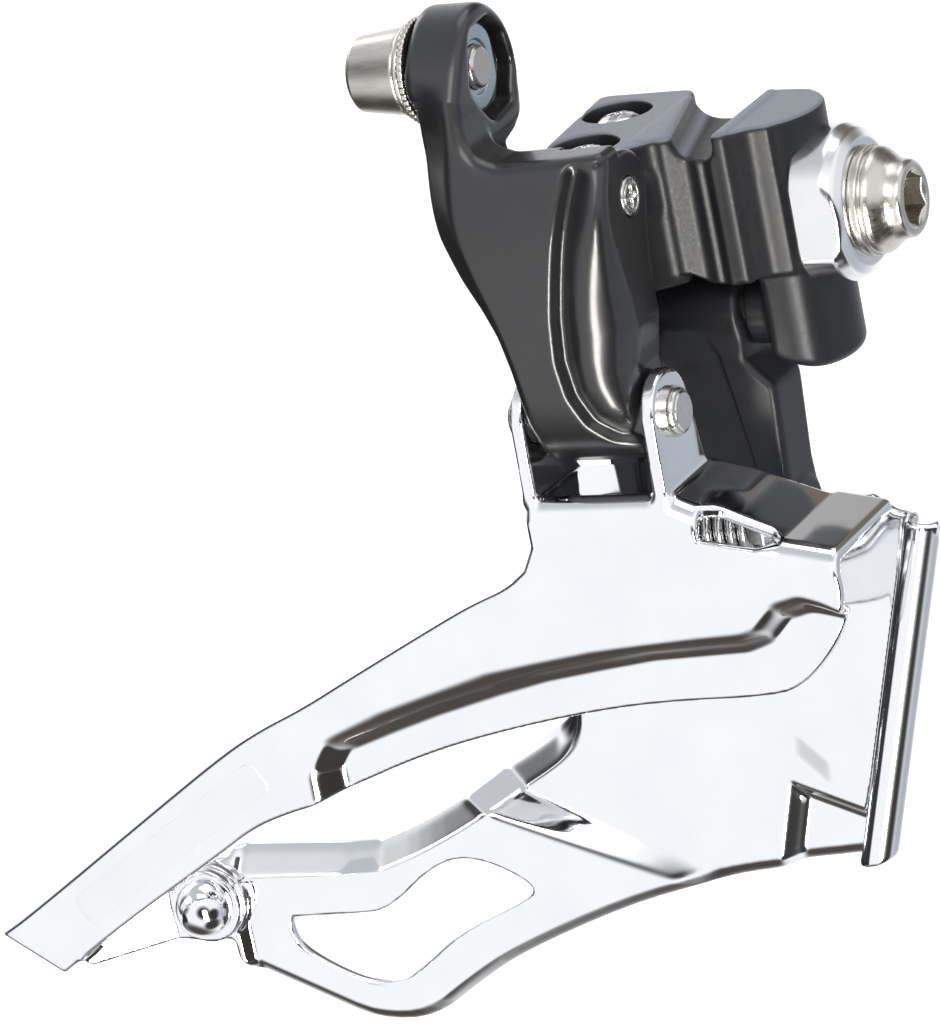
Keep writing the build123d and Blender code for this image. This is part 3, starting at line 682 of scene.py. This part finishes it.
def clamp_washer():
    """Two stacked rims under the cap, the front one toothed."""
    rear = low("cable_clamp_washer")[0]
    front = high("cable_clamp_washer")[0]
    space = around(CLAMP, (rear, front), 5.5, 0.11)
    y, z = space.y - CLAMP[0], space.z - CLAMP[1]
    radius = np.sqrt(y * y + z * z)
    teeth = 0.07 * np.cos(48 * np.arctan2(z, y))
    front_rim = prism(radius - 5.35 - teeth, slab(space.x, rear + 0.72, front), 0.12)
    rear_rim = prism(radius - 4.95, slab(space.x, rear, rear + 0.62), 0.2)
    core = prism(radius - 4.6, slab(space.x, rear + 0.1, front - 0.1))
    body = join(join(front_rim, rear_rim), core)
    return space, cut(body, radius - 2.25, 0.1)


def clamp_nut():
    """Nut plate, round with two flat sides, with a stepped hole."""
    face = high("cable_clamp_nut")[0] - 0.1
    space = around(CLAMP, (face - 1.4, face), 4.6, 0.11)
    y, z = space.y - CLAMP[0], space.z - CLAMP[1]
    radius = np.sqrt(y * y + z * z)
    flat = common(common(radius - 4.45, -y - 3.5, 0.5), y - 4.0, 0.5)
    body = prism(flat, slab(space.x, face - 1.4, face), 0.25)
    step = prism(radius - 2.75, slab(space.x, face - 0.25, face + 1))
    body = cut(body, step, 0.2)
    return space, cut(body, radius - 2.25, 0.1)


def riveted_pin(node, centre, inset, wide, rise):
    """Pin with a domed head at each end. inset is how far each head's seat is from the end."""
    start, end = low(node)[0], high(node)[0]
    space = around(centre, (start - 0.5, end + 0.5), wide, 0.1)
    body = rod_x(space, (start, end), centre, PIN_RADIUS, 0.15)
    out = circle(space.y, space.z, centre, 0)
    dome = rise * (1 - (out / wide) ** 2) * 0.35
    ripple = 0.03 * np.sin(2.6 * space.y + 1.0) * np.cos(2.9 * space.z)
    for above in (space.x - (end - inset), start + inset - space.x):
        head = prism(out - wide, np.maximum(above - dome - ripple - rise * 0.65, -above), 0.2)
        body = join(body, head)
    return space, body


def upper_pin():
    """Pin flush with the cheeks, its end peened into four lips."""
    node = "outer_link_upper_pin"
    x = (low(node)[0], high(node)[0] + 0.12)
    space = around(OUTER_TOP, x, 2.1, 0.09)
    y, z = space.y - OUTER_TOP[0], space.z - OUTER_TOP[1]
    out = np.sqrt(y * y + z * z)
    lips = 0.45 * np.cos(4 * np.arctan2(z, y) + 0.6)
    star = prism(out - 0.75 - lips, slab(space.x, x[1] - 0.35, x[1] + 1), 0.1)
    groove = common(np.abs(out - 1.5) - 0.1, x[1] - 0.22 - space.x)
    body = cut(rod_x(space, x, OUTER_TOP, PIN_RADIUS, 0.25), groove, 0.1)
    return space, cut(body, star, 0.15)


def limit_screw(node):
    """Pan-head screw with a tapered cross recess and a threaded shank."""
    bottom, top = low(node), high(node)
    axis = middle(node)[:2]
    seat = top[2] - 1.9
    space = Space(bottom - 0.5, top + 1.9, 0.12)
    x, y = space.x - axis[0], space.y - axis[1]
    out = np.sqrt(x * x + y * y)
    crown = BRACKET_TOP - 0.25
    ring = [(seat, 0), (seat, 2.45), (crown - 1.1, 2.45), (crown - 0.6, 2.25), (crown - 0.25, 1.6)]
    ring += [(crown - 0.06, 0.8), (crown, 0)]
    head = polygon(space.z, out, ring)
    turn = np.arctan2(y, x)
    thread = np.abs(((space.z / 0.5 + turn / (2 * pi)) % 1) - 0.5) * 0.34
    shank = np.maximum((out - 1.5 + thread) * 0.8, slab(space.z, bottom[2], seat + 0.3))
    deep = (crown - space.z) * 0.28
    arms = [
        np.maximum(np.abs(u) - 1.45 + deep, np.abs(v) - 0.36 + deep * 0.25) for u, v in ((x, y), (y, x))]
    recess = np.maximum(np.minimum(*arms), crown - 1.6 - space.z)
    return space, cut(join(head, shank), recess, 0.12)


def tail_dome():
    """Domed rivet head on the stacked tabs, and a flat head inboard."""
    bottom, top = low("tail_rivet"), high("tail_rivet")
    space = Space(bottom - 0.6, top + 0.6, 0.11)
    out = circle(space.x, space.z, RIVET, 0)
    seat = TAIL_FACE - 2 * SHEET
    ball = np.sqrt(out ** 2 + (space.y - seat) ** 2) - 3.1
    dome = common(ball, space.y - seat, 0.1)
    shank = prism(out - 1.5, slab(space.y, seat - 0.5, top[1] - 0.4))
    back = prism(out - 2.6, slab(space.y, top[1] - 0.9, top[1]), 0.25)
    return space, join(join(dome, shank), back)


def spring():
    """Closed coil of round wire about the lower pivot, without its legs."""
    wire, coil = 0.6, 3.6           # radii of the wire and of the coil's middle line
    steps, sides = 40, 20           # points on one turn, and round the wire
    y, z = INNER_LOW
    start, end = low("return_spring")[0] + wire, high("return_spring")[0] - wire
    count = int((end - start) / (2 * wire + 0.12) * steps)
    line = []
    for k in range(count + 1):
        turn = 2 * pi * k / steps
        line.append((start + (end - start) * k / count, y + coil * sin(turn), z + coil * cos(turn)))
    line = np.array(line, float)
    ahead = np.gradient(line, axis=0)
    ahead /= np.linalg.norm(ahead, axis=1, keepdims=True)
    side = np.cross(ahead[0], (0.3, 0.9, 0.1))
    points = []
    for at, way in zip(line, ahead):
        side = side - way * (side @ way)
        side /= np.linalg.norm(side)
        other = np.cross(way, side)
        for k in range(sides):
            turn = 2 * pi * k / sides
            points.append(at + wire * (cos(turn) * side + sin(turn) * other))
    last = (len(line) - 1) * sides
    faces = bands(len(line), sides) + [tuple(reversed(range(sides))), tuple(range(last, last + sides))]
    mesh = mesh_of("spring_wire", points, faces)
    mesh.shade_smooth()
    new_object("spring_wire", mesh, "spring_steel", "inner_link", "return_spring")


def label():
    """Thin blank film with rounded corners on the tail of the outer plate."""
    flat, rise = low("cage_label")[1], high("cage_label")[1] + 0.02
    ring = rounded([(-89.8, -64.5), (-64.9, -48.9), (-62.8, -52.2), (-87.7, -67.8)], 1.3, 8.0)
    centre = np.mean(ring, axis=0)
    inner = [p + (centre - p) * 0.006 for p in ring]
    points = [(p[0], rise, p[1]) for p in ring] + [(p[0], flat + 0.05, p[1]) for p in ring]
    points += [(p[0], flat, p[1]) for p in inner]
    count = len(ring)
    faces = [tuple(range(2 * count, 3 * count)), tuple(reversed(range(count)))] + bands(3, count)
    mesh = mesh_of("label_film", points, faces)
    work = bmesh.new()
    work.from_mesh(mesh)
    bmesh.ops.recalc_face_normals(work, faces=work.faces)
    work.to_mesh(mesh)
    work.free()
    new_object("label_film", mesh, "label", "cage", "cage_label")


# ---- outer link
CHEEK_FRONT, CHEEK_REAR = -12.9, -28.0      # x of the cheeks' outer faces


def link_relief(x, z):
    """How far the outer link's outboard wall lies inboard of its side view's outline."""
    ridge = curve([
        (-18, -24.4), (-8.1, -24.7), (-2.6, -25.7), (3.2, -27.6), (7.8, -29.0), (12.1, -29.4), (17, -29.2),
    ], z)
    beyond = np.maximum(ridge - x, 0)
    left = (beyond - 0.8 * (1 - np.exp(-beyond / 0.8))) * 0.95
    left = left * (1 - smooth(15.5, 22, z))
    lobe = rounded([
        (-15.8, 13.4), (-16.2, 11.4), (-16.9, 8.8), (-17.9, 4.3), (-19.2, -2.4), (-19.7, -6.9),
        (-19.4, -10.6), (-18.3, -13.6), (-16.4, -15.5), (-14.6, -16.0), (-8, -16.2), (-8, 13.4),
    ], 1.5)
    within = -polygon(x, z, lobe)
    bulge = 1 - np.sin(pi / 2 * np.clip(within / 3.6, 0, 1))
    edge = np.clip(1 + within / 0.9, 0, 1)
    groove = 1.15 * np.where(within > 0, bulge, edge) * smooth(13.0, 11.4, z)
    front = np.interp(z, [-9, -4.5], [-13.9, CHEEK_FRONT])
    near = np.clip((x - front + 5.0) / 5.0, 0, 1) * 0.95
    fall = curve([
        (-18, 1.6), (-14, 3.6), (-9.6, 4.7), (-7.1, 4.9), (-1.1, 4.2), (2.8, 2.8), (7.2, 1.0), (10, 0.8),
        (12, 0.8),
    ], z)
    return left + groove + fall * (1 - np.sqrt(1 - near * near))


def link_side():
    """Outline of the outer link across its pivots, with the cable arm's head, in (y, z)."""
    outboard = [(-22.0, -18.2), (-23.7, -16.6), (-25.1, -13.8), (-25.9, -10.0), (-26.25, -5.0), (-26.3, 0.0)]
    outboard += [(-25.8, 5.0), (-25.0, 8.0), (-23.8, 11.0), (-22.8, 13.4), (-22.2, 16.4)]
    head = [(-21.5, 19.3), (-18.4, 23.8), (-15.2, 26.4), (-11.4, 26.9), (-7.9, 24.4), (-6.3, 20.8)]
    head += [(-6.5, 17.0), (-8.2, 14.2), (-11.0, 13.0)]
    inboard = [(-13.4, 12.4), (-12.9, 10.2), (-13.2, 8.0), (-14.0, 5.2), (-15.8, 1.7), (-16.6, -2.0)]
    inboard += [(-16.7, -7.0), (-15.9, -11.4), (-15.0, -14.0), (-15.6, -16.9), (-17.4, -18.9), (-19.7, -19.4)]
    return supple(outboard, 3) + supple(head, 3) + supple(inboard, 3)


def link_front():
    """Outline of the outer link seen from outboard, in (x, z)."""
    return rounded([
        (-34.6, 30), (-34.6, 15.0), (-33.7, 9.5), (-32.8, 5.2), (-30.6, 1.2), (-28.4, -1.6), (-27.0, -4.2),
        (-26.3, -8), (-26.1, -12), (-26.1, -22), (-13.9, -22), (-13.9, -9.6), (CHEEK_FRONT, -4.8),
        (CHEEK_FRONT, 13.2), (-24.4, 12.7), (-26.6, 13.4), (-27.8, 14.8), (-28.2, 16.8), (-28.2, 30),
    ], [0, 9, 9, 6, 4, 4, 4, 4, 4, 0, 0, 3, 3, 0.8, 3, 4, 4, 3, 0])


def build_outer_link():
    space = Space((-35.6, -27.3, -20.6), (-11.8, -5.2, 28.4), 0.22)
    x, y, z = space.x, space.y, space.z
    relief = soften(link_relief(x, z), 0.2, space.pitch)
    shifted = y - relief * smooth(-13.5, -19.5, y)
    side = shifted_polygon(space, shifted, link_side())
    slope = np.sqrt(1 + np.gradient(relief[:, 0, :], space.pitch, axis=0) ** 2)[:, None, :]
    side = side / np.minimum(slope, 2.0)
    link = common(side, polygon(x, z, link_front()), 1.3)
    # the room between the two cheeks, and its opening at the top
    hollow = rounded(
        [(-21.6, 11.3), (-23.4, 8.0), (-24.2, -3.0), (-23.6, -9.2), (-8.0, -9.2), (-8.0, 11.3)], 1.5)
    hollow = shifted_polygon(space, y - relief * 0.8, hollow)
    link = cut(link, common(hollow, slab(x, CHEEK_REAR + 1.6, CHEEK_FRONT - 1.6), 1.0), 0.8)
    roof = rounded([
        (-27.6, -17.2), (-22.0, -17.6), (-18.0, -17.6), (-15.6, -15.8), (-14.5, -13.6), (-14.5, -4),
        (-27.6, -4),
    ], 1.2)
    link = cut(link, common(polygon(x, y, roof), slab(z, 9.0, 16.0)), 0.5)
    corner = common(-circle(y, z, OUTER_TOP, 4.7), np.maximum(-18.6 - y, 7.5 - z))
    link = cut(link, common(corner, -19.0 - x), 0.6)
    # the pocket for the nut plate, and the bores
    pocket = rounded([
        (-11.0, 24.9), (-8.2, 22.6), (-7.4, 19.0), (-9.4, 15.6), (-14.6, 15.0), (-17.6, 19.2), (-15.6, 24.6),
    ], 1.6)
    pocket = polygon(y, z, pocket)
    face = high("cable_clamp_nut")[0] - 1.5
    link = cut(link, prism(pocket, face - x), 0.7)
    link = cut(link, circle(y, z, CLAMP, 2.3), 0.3)
    link = cut(link, rod_x(space, (CHEEK_REAR - 0.6, 0), OUTER_TOP, 2.0), 0.35)
    return space, cut(link, rod_x(space, (-27, -13), OUTER_LOW, 2.7), 0.4)


# ---- inner link
def build_inner_link():
    space = Space((-28.2, -15.5, -37.2), (-5.8, 4.6, -4.6), 0.24)
    x, y, z = space.x, space.y, space.z
    (top_y, top_z), (low_y, low_z) = INNER_TOP, INNER_LOW
    barrel = rod_x(space, (-27.0, -9.8), INNER_TOP, 4.4, 0.5)
    web = rounded([
        (top_y - 3.9, top_z), (top_y - 4.1, -17.5), (low_y - 3.2, -26.6), (low_y - 4.3, low_z),
        (low_y + 4.3, low_z), (low_y + 3.8, -26.6), (top_y + 3.0, -18.6), (top_y + 3.4, top_z),
    ], 2.5)
    front = rounded([
        (-27, -4), (-9.8, -4), (-9.8, -14.2), (-8.8, -15.4), (-7.1, -17.2), (-7.1, -40), (-27, -40),
    ], [0, 0, 0.8, 1.5, 1.5, 0, 0])
    body = common(polygon(y, z, web), polygon(x, z, front), 0.9)
    rib = rounded([(-13.2, -9.0), (-12.6, -15.0), (-10.4, -27.0), (-23.4, -27.0), (-24.6, -9.0)], 1.5)
    panel = common(polygon(x, z, rib), y - (top_y - 3.3), 0.4)
    body = cut(body, panel, 0.5)
    body = join(body, barrel, 1.4)
    # the fork at the foot, round the spring
    between = common(slab(x, -24.2, -9.6), z + 26.6, 1.2)
    body = cut(body, between, 0.5)
    knuckles = join(
        rod_x(space, (-27.0, -24.2), INNER_LOW, 4.3, 0.4), rod_x(space, (-9.6, -7.0), INNER_LOW, 4.3, 0.4))
    body = join(body, knuckles, 0.4)
    # the two pads that the limit screws meet
    pad = brick(space, (-24.9, -20.5), (top_y - 1, 3.5), (top_z, -5.4), 0.5)
    body = join(body, pad, 0.8)
    wing = rounded([
        (top_y, top_z + 3.4), (-9.0, -9.25), (-11.5, -10.9), (-11.0, -13.1), (top_y, top_z - 3.4),
    ], 0.8)
    body = join(body, prism(polygon(y, z, wing), slab(x, -23.5, -19.5), 0.4), 0.8)
    body = common(body, -27.05 - x, 0.4)
    body = cut(body, rod_x(space, (-30, 0), INNER_TOP, 2.65), 0.3)
    return space, cut(body, rod_x(space, (-30, 0), INNER_LOW, 2.7), 0.3)


# ---- bracket
def seat_plan(x, y):
    """Plan of the seat block: a half-round nose, with a flat flank and an upright flute outboard."""
    nose = common(circle(x, y, (-6.4, -0.2), 7.0), np.maximum(-6.4 - y, y - 6.3), 0.8)
    left = rounded(
        [(-8.2, -8.8), (-6.9, -8.9), (-4.4, -6.8), (-2.6, -6.2), (-2.6, 5.6), (-8.2, 6.4)],
        [0, 1.4, 2.6, 0, 0, 0])
    plan = join(nose, polygon(x, y, left), 0.6)
    return cut(plan, circle(x, y, (-5.7, -9.6), 1.0), 0.5)


def build_bracket():
    space = Space((-30.9, -23.0, -16.9), (1.2, 9.0, 11.0), 0.24)
    x, y, z = space.x, space.y, space.z
    # the hanger seat
    upper = prism(seat_plan(x, y), slab(z, -5.2, BRACKET_TOP), 0.45)
    tongue = common(circle(x, y, (-6.4, 0), 6.9), np.maximum(-6.3 - y, y - 6.3), 0.9)
    tongue = common(tongue, -6.9 - x, 1.2)
    foot = -16.0 + 1.4 * smooth(-1.0, -8.0, x)
    lower = prism(tongue, np.maximum(foot - z, z - 6), 1.5)
    seat = join(upper, lower, 0.8)
    # the block round the limit screws, and the fluted wall from it to the seat
    block = rounded(
        [(-27.2, 7.7), (-25.8, -9.8), (-16.4, -11.6), (-12.9, -8.4), (-16.6, 8.2)], [1.2, 1.6, 1.2, 0.8, 1.5])
    screws = prism(polygon(x, y, block), slab(z, -5.0, BRACKET_TOP), 0.4)
    wall = rounded([
        (-16.5, 6.0), (-16.5, -9.4), (-13.0, -9.3), (-11.0, -8.3), (-8.4, -8.6), (-6.2, -8.6), (-6.2, 6.0),
    ], 1.2)
    ribs = 0.22 * np.cos(2 * pi * (x + 8.2) / 1.9) * smooth(-10.6, -9.2, x) * smooth(-5.8, -6.6, x)
    wall = polygon(x, y + ribs, wall)
    bottom = np.interp(x, [-16, -12.6, -11, -9], [-3.9, -4.0, -5.2, -5.5])
    neck = prism(wall, np.maximum(bottom - z, z - BRACKET_TOP), 0.5)
    body = join(join(seat, screws, 0.4), neck, 0.5)
    # the valley between the block and the seat
    slant = (-12.2 - 0.256 * (y + 8.6) - x) * 0.9
    valley = common(common(slant, 7.7 - z, 3.2), x + 7.8, 1.6)
    body = cut(body, valley, 0.4)
    body = join(body, rod_x(space, (-9.3, -6.0), INNER_TOP, 3.7, 0.3), 0.3)
    # the outer link's boss, and the inner link's rear lug
    boss = rod_x(space, (-26.0, -14.9), OUTER_TOP, 3.55, 0.4)
    arm = brick(space, (-26.0, -14.9), (-18.0, -9.0), (3.4, 6.6), 0.4)
    body = join(body, join(boss, arm, 1.0), 1.6)
    lug = join(rod_x(space, (-30.0, -27.4), INNER_TOP, 4.0, 0.4),
               brick(space, (-30.0, -27.4), (-6.0, 2.0), (-10.0, 2.0), 0.4), 0.3)
    tie = brick(space, (-30.0, -24.0), (-6.0, 2.0), (-5.0, 2.0), 0.4)
    body = join(body, join(lug, tie, 0.8), 0.8)
    body = cut(body, rod_x(space, (-31, -3.0), INNER_TOP, 2.0), 0.2)
    body = cut(body, rod_x(space, (-9.0, 3.0), (0, 0), 2.55), 0.2)
    body = cut(body, rod_x(space, (-30, -13), OUTER_TOP, 2.65), 0.3)
    for node in ("low_limit_screw", "high_limit_screw"):
        axis = middle(node)[:2]
        body = cut(body, rod_z(space, (-8, 12), axis, 1.6), 0.1)
        body = cut(body, rod_z(space, (high(node)[2] - 2.0, 14), axis, 3.55), 0.5)
    return space, body


def painted_top_sheen(material):
    """Painted sheen: the casting's upward faces near its top turn a paler, bluish grey, as if lit from above.
    """
    tree = material.node_tree
    colour = tree.nodes["Principled BSDF"].inputs["Base Color"]
    both = node_of(tree, "ShaderNodeMath", operation="MULTIPLY")
    for k, (kind, output, ends) in enumerate((
            ("ShaderNodeTexCoord", "Object", (8.0 * MM, 8.3 * MM)),
            ("ShaderNodeNewGeometry", "Normal", (0.45, 0.75)))):
        parts = node_of(tree, "ShaderNodeSeparateXYZ")
        tree.links.new(node_of(tree, kind).outputs[output], parts.inputs["Vector"])
        tree.links.new(spread(tree, parts.outputs["Z"], (0.0, 1.0), ends), both.inputs[k])
    # painted sheen: upward faces near the top are mixed toward a pale bluish grey
    sheen_colour = mixed(tree, both.outputs["Value"], colour.links[0].from_socket, (0.20, 0.215, 0.245))
    tree.links.new(sheen_colour, colour)


# ---- pieces
skin("cage_plate_outer", *build_outer_plate(), "chrome", "cage", "outer_cage_plate")
skin("cage_plate_inner", *build_inner_plate(), "chrome", "cage", "inner_cage_plate")
skin("link_casting_outer", *build_outer_link(), "gloss_black", "outer_link", "outer_link")
skin("link_casting_inner", *build_inner_link(), "satin_black", "inner_link", "inner_link")
skin("bracket_casting", *build_bracket(), "satin_black", "bracket", "bracket_body")
skin("seat_washer", *seat_washer(), "bright_aluminium", "bracket", "radius_washer")
skin("seat_bolt", *seat_bolt(), "nickel", "bracket", "frame_bolt")
skin("clamp_cap", *clamp_cap(), "nickel", "outer_link", "cable_clamp_bolt")
skin("clamp_rims", *clamp_washer(), "nickel", "outer_link", "cable_clamp_washer")
skin("clamp_nut_plate", *clamp_nut(), "zinc", "outer_link", "cable_clamp_nut")
skin("upper_pin", *upper_pin(), "pin_steel", "outer_link", "outer_link_upper_pin")
skin("cage_pin", *riveted_pin("outer_link_lower_pin", OUTER_LOW, 0.9, 2.35, 0.95),
     "pin_steel", "cage", "outer_link_lower_pin")
skin("spring_pin", *riveted_pin("inner_link_lower_pin", INNER_LOW, 0.8, 2.4, 0.85),
     "pin_steel", "cage", "inner_link_lower_pin")
skin("low_screw", *limit_screw("low_limit_screw"), "screw_steel", "low_limit", "low_limit_screw")
skin("high_screw", *limit_screw("high_limit_screw"), "screw_steel", "high_limit", "high_limit_screw")
skin("tail_dome", *tail_dome(), "chrome", "cage", "tail_rivet")
spring()
label()
# painted sheen on the upward faces near the top of the black castings
painted_top_sheen(FINISHES["satin_black"][0])
for node, look in {
        "outer_link_upper_bush": "bush", "outer_link_lower_bushes": "bush", "inner_link_upper_bushes": "bush",
        "inner_link_lower_bushes": "bush", "spring_sleeve": "sleeve", "outer_link_lower_rings": "pin_steel",
        "inner_link_upper_pin": "pin_steel"}.items():
    frame["nodes"][node].material_slots[0].material = FINISHES[look][0]


# ---- stage
FLOOR, SPAN = -260.0, 6000.0            # the floor's height, and its half width
MIDST = Vector((-40, -18, -30))         # what the lights and the strip face
CORNERS = ((-1, -1), (1, -1), (1, 1), (-1, 1))


def quad(name, corners, colour, glow, seen=True):
    """Flat card. One that isn't seen shows only in reflections."""
    mesh = mesh_of(name, corners, [range(len(corners))])
    material = bpy.data.materials.new(name)
    material.use_nodes = True
    shader = material.node_tree.nodes["Principled BSDF"]
    shader.inputs["Base Color"].default_value = (*colour, 1)
    shader.inputs["Roughness"].default_value = 0.9
    shader.inputs["Specular IOR Level"].default_value = 0.1
    shader.inputs["Emission Color"].default_value = (*colour, 1)
    shader.inputs["Emission Strength"].default_value = glow
    mesh.materials.append(material)
    card = placed(name, mesh)
    if not seen:
        card.visible_camera = card.visible_diffuse = card.visible_shadow = card.visible_transmission = False
    return card


def facing_card(name, towards, distance, width, height, colour, glow):
    """Card seen only in reflections, square to a direction from the object."""
    towards = Vector(towards).normalized()
    side = towards.cross(Vector((0, 0, 1))).normalized()
    up = side.cross(towards)
    centre = MIDST + towards * distance
    corners = [centre + side * a * width / 2 + up * b * height / 2 for a, b in CORNERS]
    quad(name, corners, colour, glow, seen=False)


def area_light(name, towards, distance, size, power):
    light = bpy.data.lights.new(name, "AREA")
    light.shape, light.size, light.size_y = "RECTANGLE", size[0] * MM, size[1] * MM
    light.energy = power
    lamp = placed(name, light)
    towards = Vector(towards).normalized()
    lamp.location = (MIDST + towards * distance) * MM
    lamp.rotation_euler = (-towards).to_track_quat("-Z", "Y").to_euler()


ground = quad("floor", [(a * SPAN, b * SPAN, FLOOR) for a, b in CORNERS], (0.93, 0.93, 0.93), 0.6)
ground.visible_glossy = False
area_light("key", (0.25, -0.75, 0.75), 700, (420, 300), 1.1)
area_light("rim", (-0.8, 0.4, 0.6), 700, (420, 300), 0.7)
area_light("top", (0.1, 0.3, 1.0), 800, (500, 500), 0.9)
facing_card("strip", (0.36, -0.86, -0.35), 420, 120, 360, (1.0, 0.96, 0.90), 20.0)

# direction, inner and outer angle in degrees, and the colour seen there
SHADES = [
    ((-0.46, -0.06, -0.88), 12, 44, (0.075, 0.065, 0.058)),
    ((0.36, -0.93, -0.05), 14, 34, (0.025, 0.024, 0.024)),
    ((-0.83, 0.47, -0.31), 10, 28, (0.030, 0.030, 0.032)),
    ((-0.90, -0.35, -0.31), 12, 21, (0.025, 0.024, 0.024)),
    ((-0.95, 0.05, -0.31), 12, 24, (0.025, 0.024, 0.024)),
    ((0.82, -0.47, -0.31), 15, 29, (0.040, 0.036, 0.032)),
    ((0.42, -0.28, -0.86), 17, 31, (0.050, 0.046, 0.042)),
    ((-0.88, -0.40, 0.25), 12, 34, (0.06, 0.06, 0.065)),
    ((0.80, 0.58, -0.31), 18, 55, (0.42, 0.45, 0.50)),
    ((0.15, 0.80, 0.58), 16, 36, (0.16, 0.145, 0.13)),
    ((-0.15, 0.10, 0.98), 20, 50, (0.55, 0.57, 0.60)),
]


def surroundings():
    """What the metal mirrors: a white studio with soft-edged darker shades in some directions."""
    world = bpy.data.worlds.new("studio")
    bpy.context.scene.world = world
    world.use_nodes = True
    tree = world.node_tree
    tree.nodes.clear()
    place = node_of(tree, "ShaderNodeTexCoord").outputs["Generated"]
    colour = (0.97, 0.98, 1.0)
    for towards, inner, outer, shade in SHADES:
        dot = node_of(tree, "ShaderNodeVectorMath", operation="DOT_PRODUCT")
        dot.inputs[1].default_value = Vector(towards).normalized()
        tree.links.new(place, dot.inputs[0])
        ends = cos(radians(outer)), cos(radians(inner))
        inside = spread(tree, dot.outputs["Value"], (0.0, 1.0), ends, interpolation_type="SMOOTHSTEP")
        colour = mixed(tree, inside, colour, shade)
    back = node_of(tree, "ShaderNodeBackground", Strength=1.02)
    tree.links.new(colour, back.inputs["Color"])
    tree.links.new(back.outputs["Background"], node_of(tree, "ShaderNodeOutputWorld").inputs["Surface"])


surroundings()

# ---- camera
AZIMUTH, ELEVATION, ROLL = radians(28.9), radians(18.0), radians(11.5)
AIM = Vector((-33.0, -26.4, -22.0))
DISTANCE, LENS, SENSOR = 700.0, 246.1, 36.0
backward = Vector((sin(AZIMUTH) * cos(ELEVATION), -cos(AZIMUTH) * cos(ELEVATION), sin(ELEVATION)))
level = Vector((cos(AZIMUTH), sin(AZIMUTH), 0))
upward = backward.cross(level)
right = level * cos(ROLL) - upward * sin(ROLL)
upward = level * sin(ROLL) + upward * cos(ROLL)
camera = placed("camera", bpy.data.cameras.new("camera"))
camera.data.lens, camera.data.sensor_width = LENS, SENSOR
camera.data.clip_start, camera.data.clip_end = 0.01, 50.0
place = (AIM + backward * DISTANCE) * MM
camera.matrix_world = Matrix((
    (right.x, upward.x, backward.x, place.x),
    (right.y, upward.y, backward.y, place.y),
    (right.z, upward.z, backward.z, place.z),
    (0, 0, 0, 1),
))
bpy.context.scene.camera = camera
bpy.context.scene.view_settings.view_transform = "Standard"
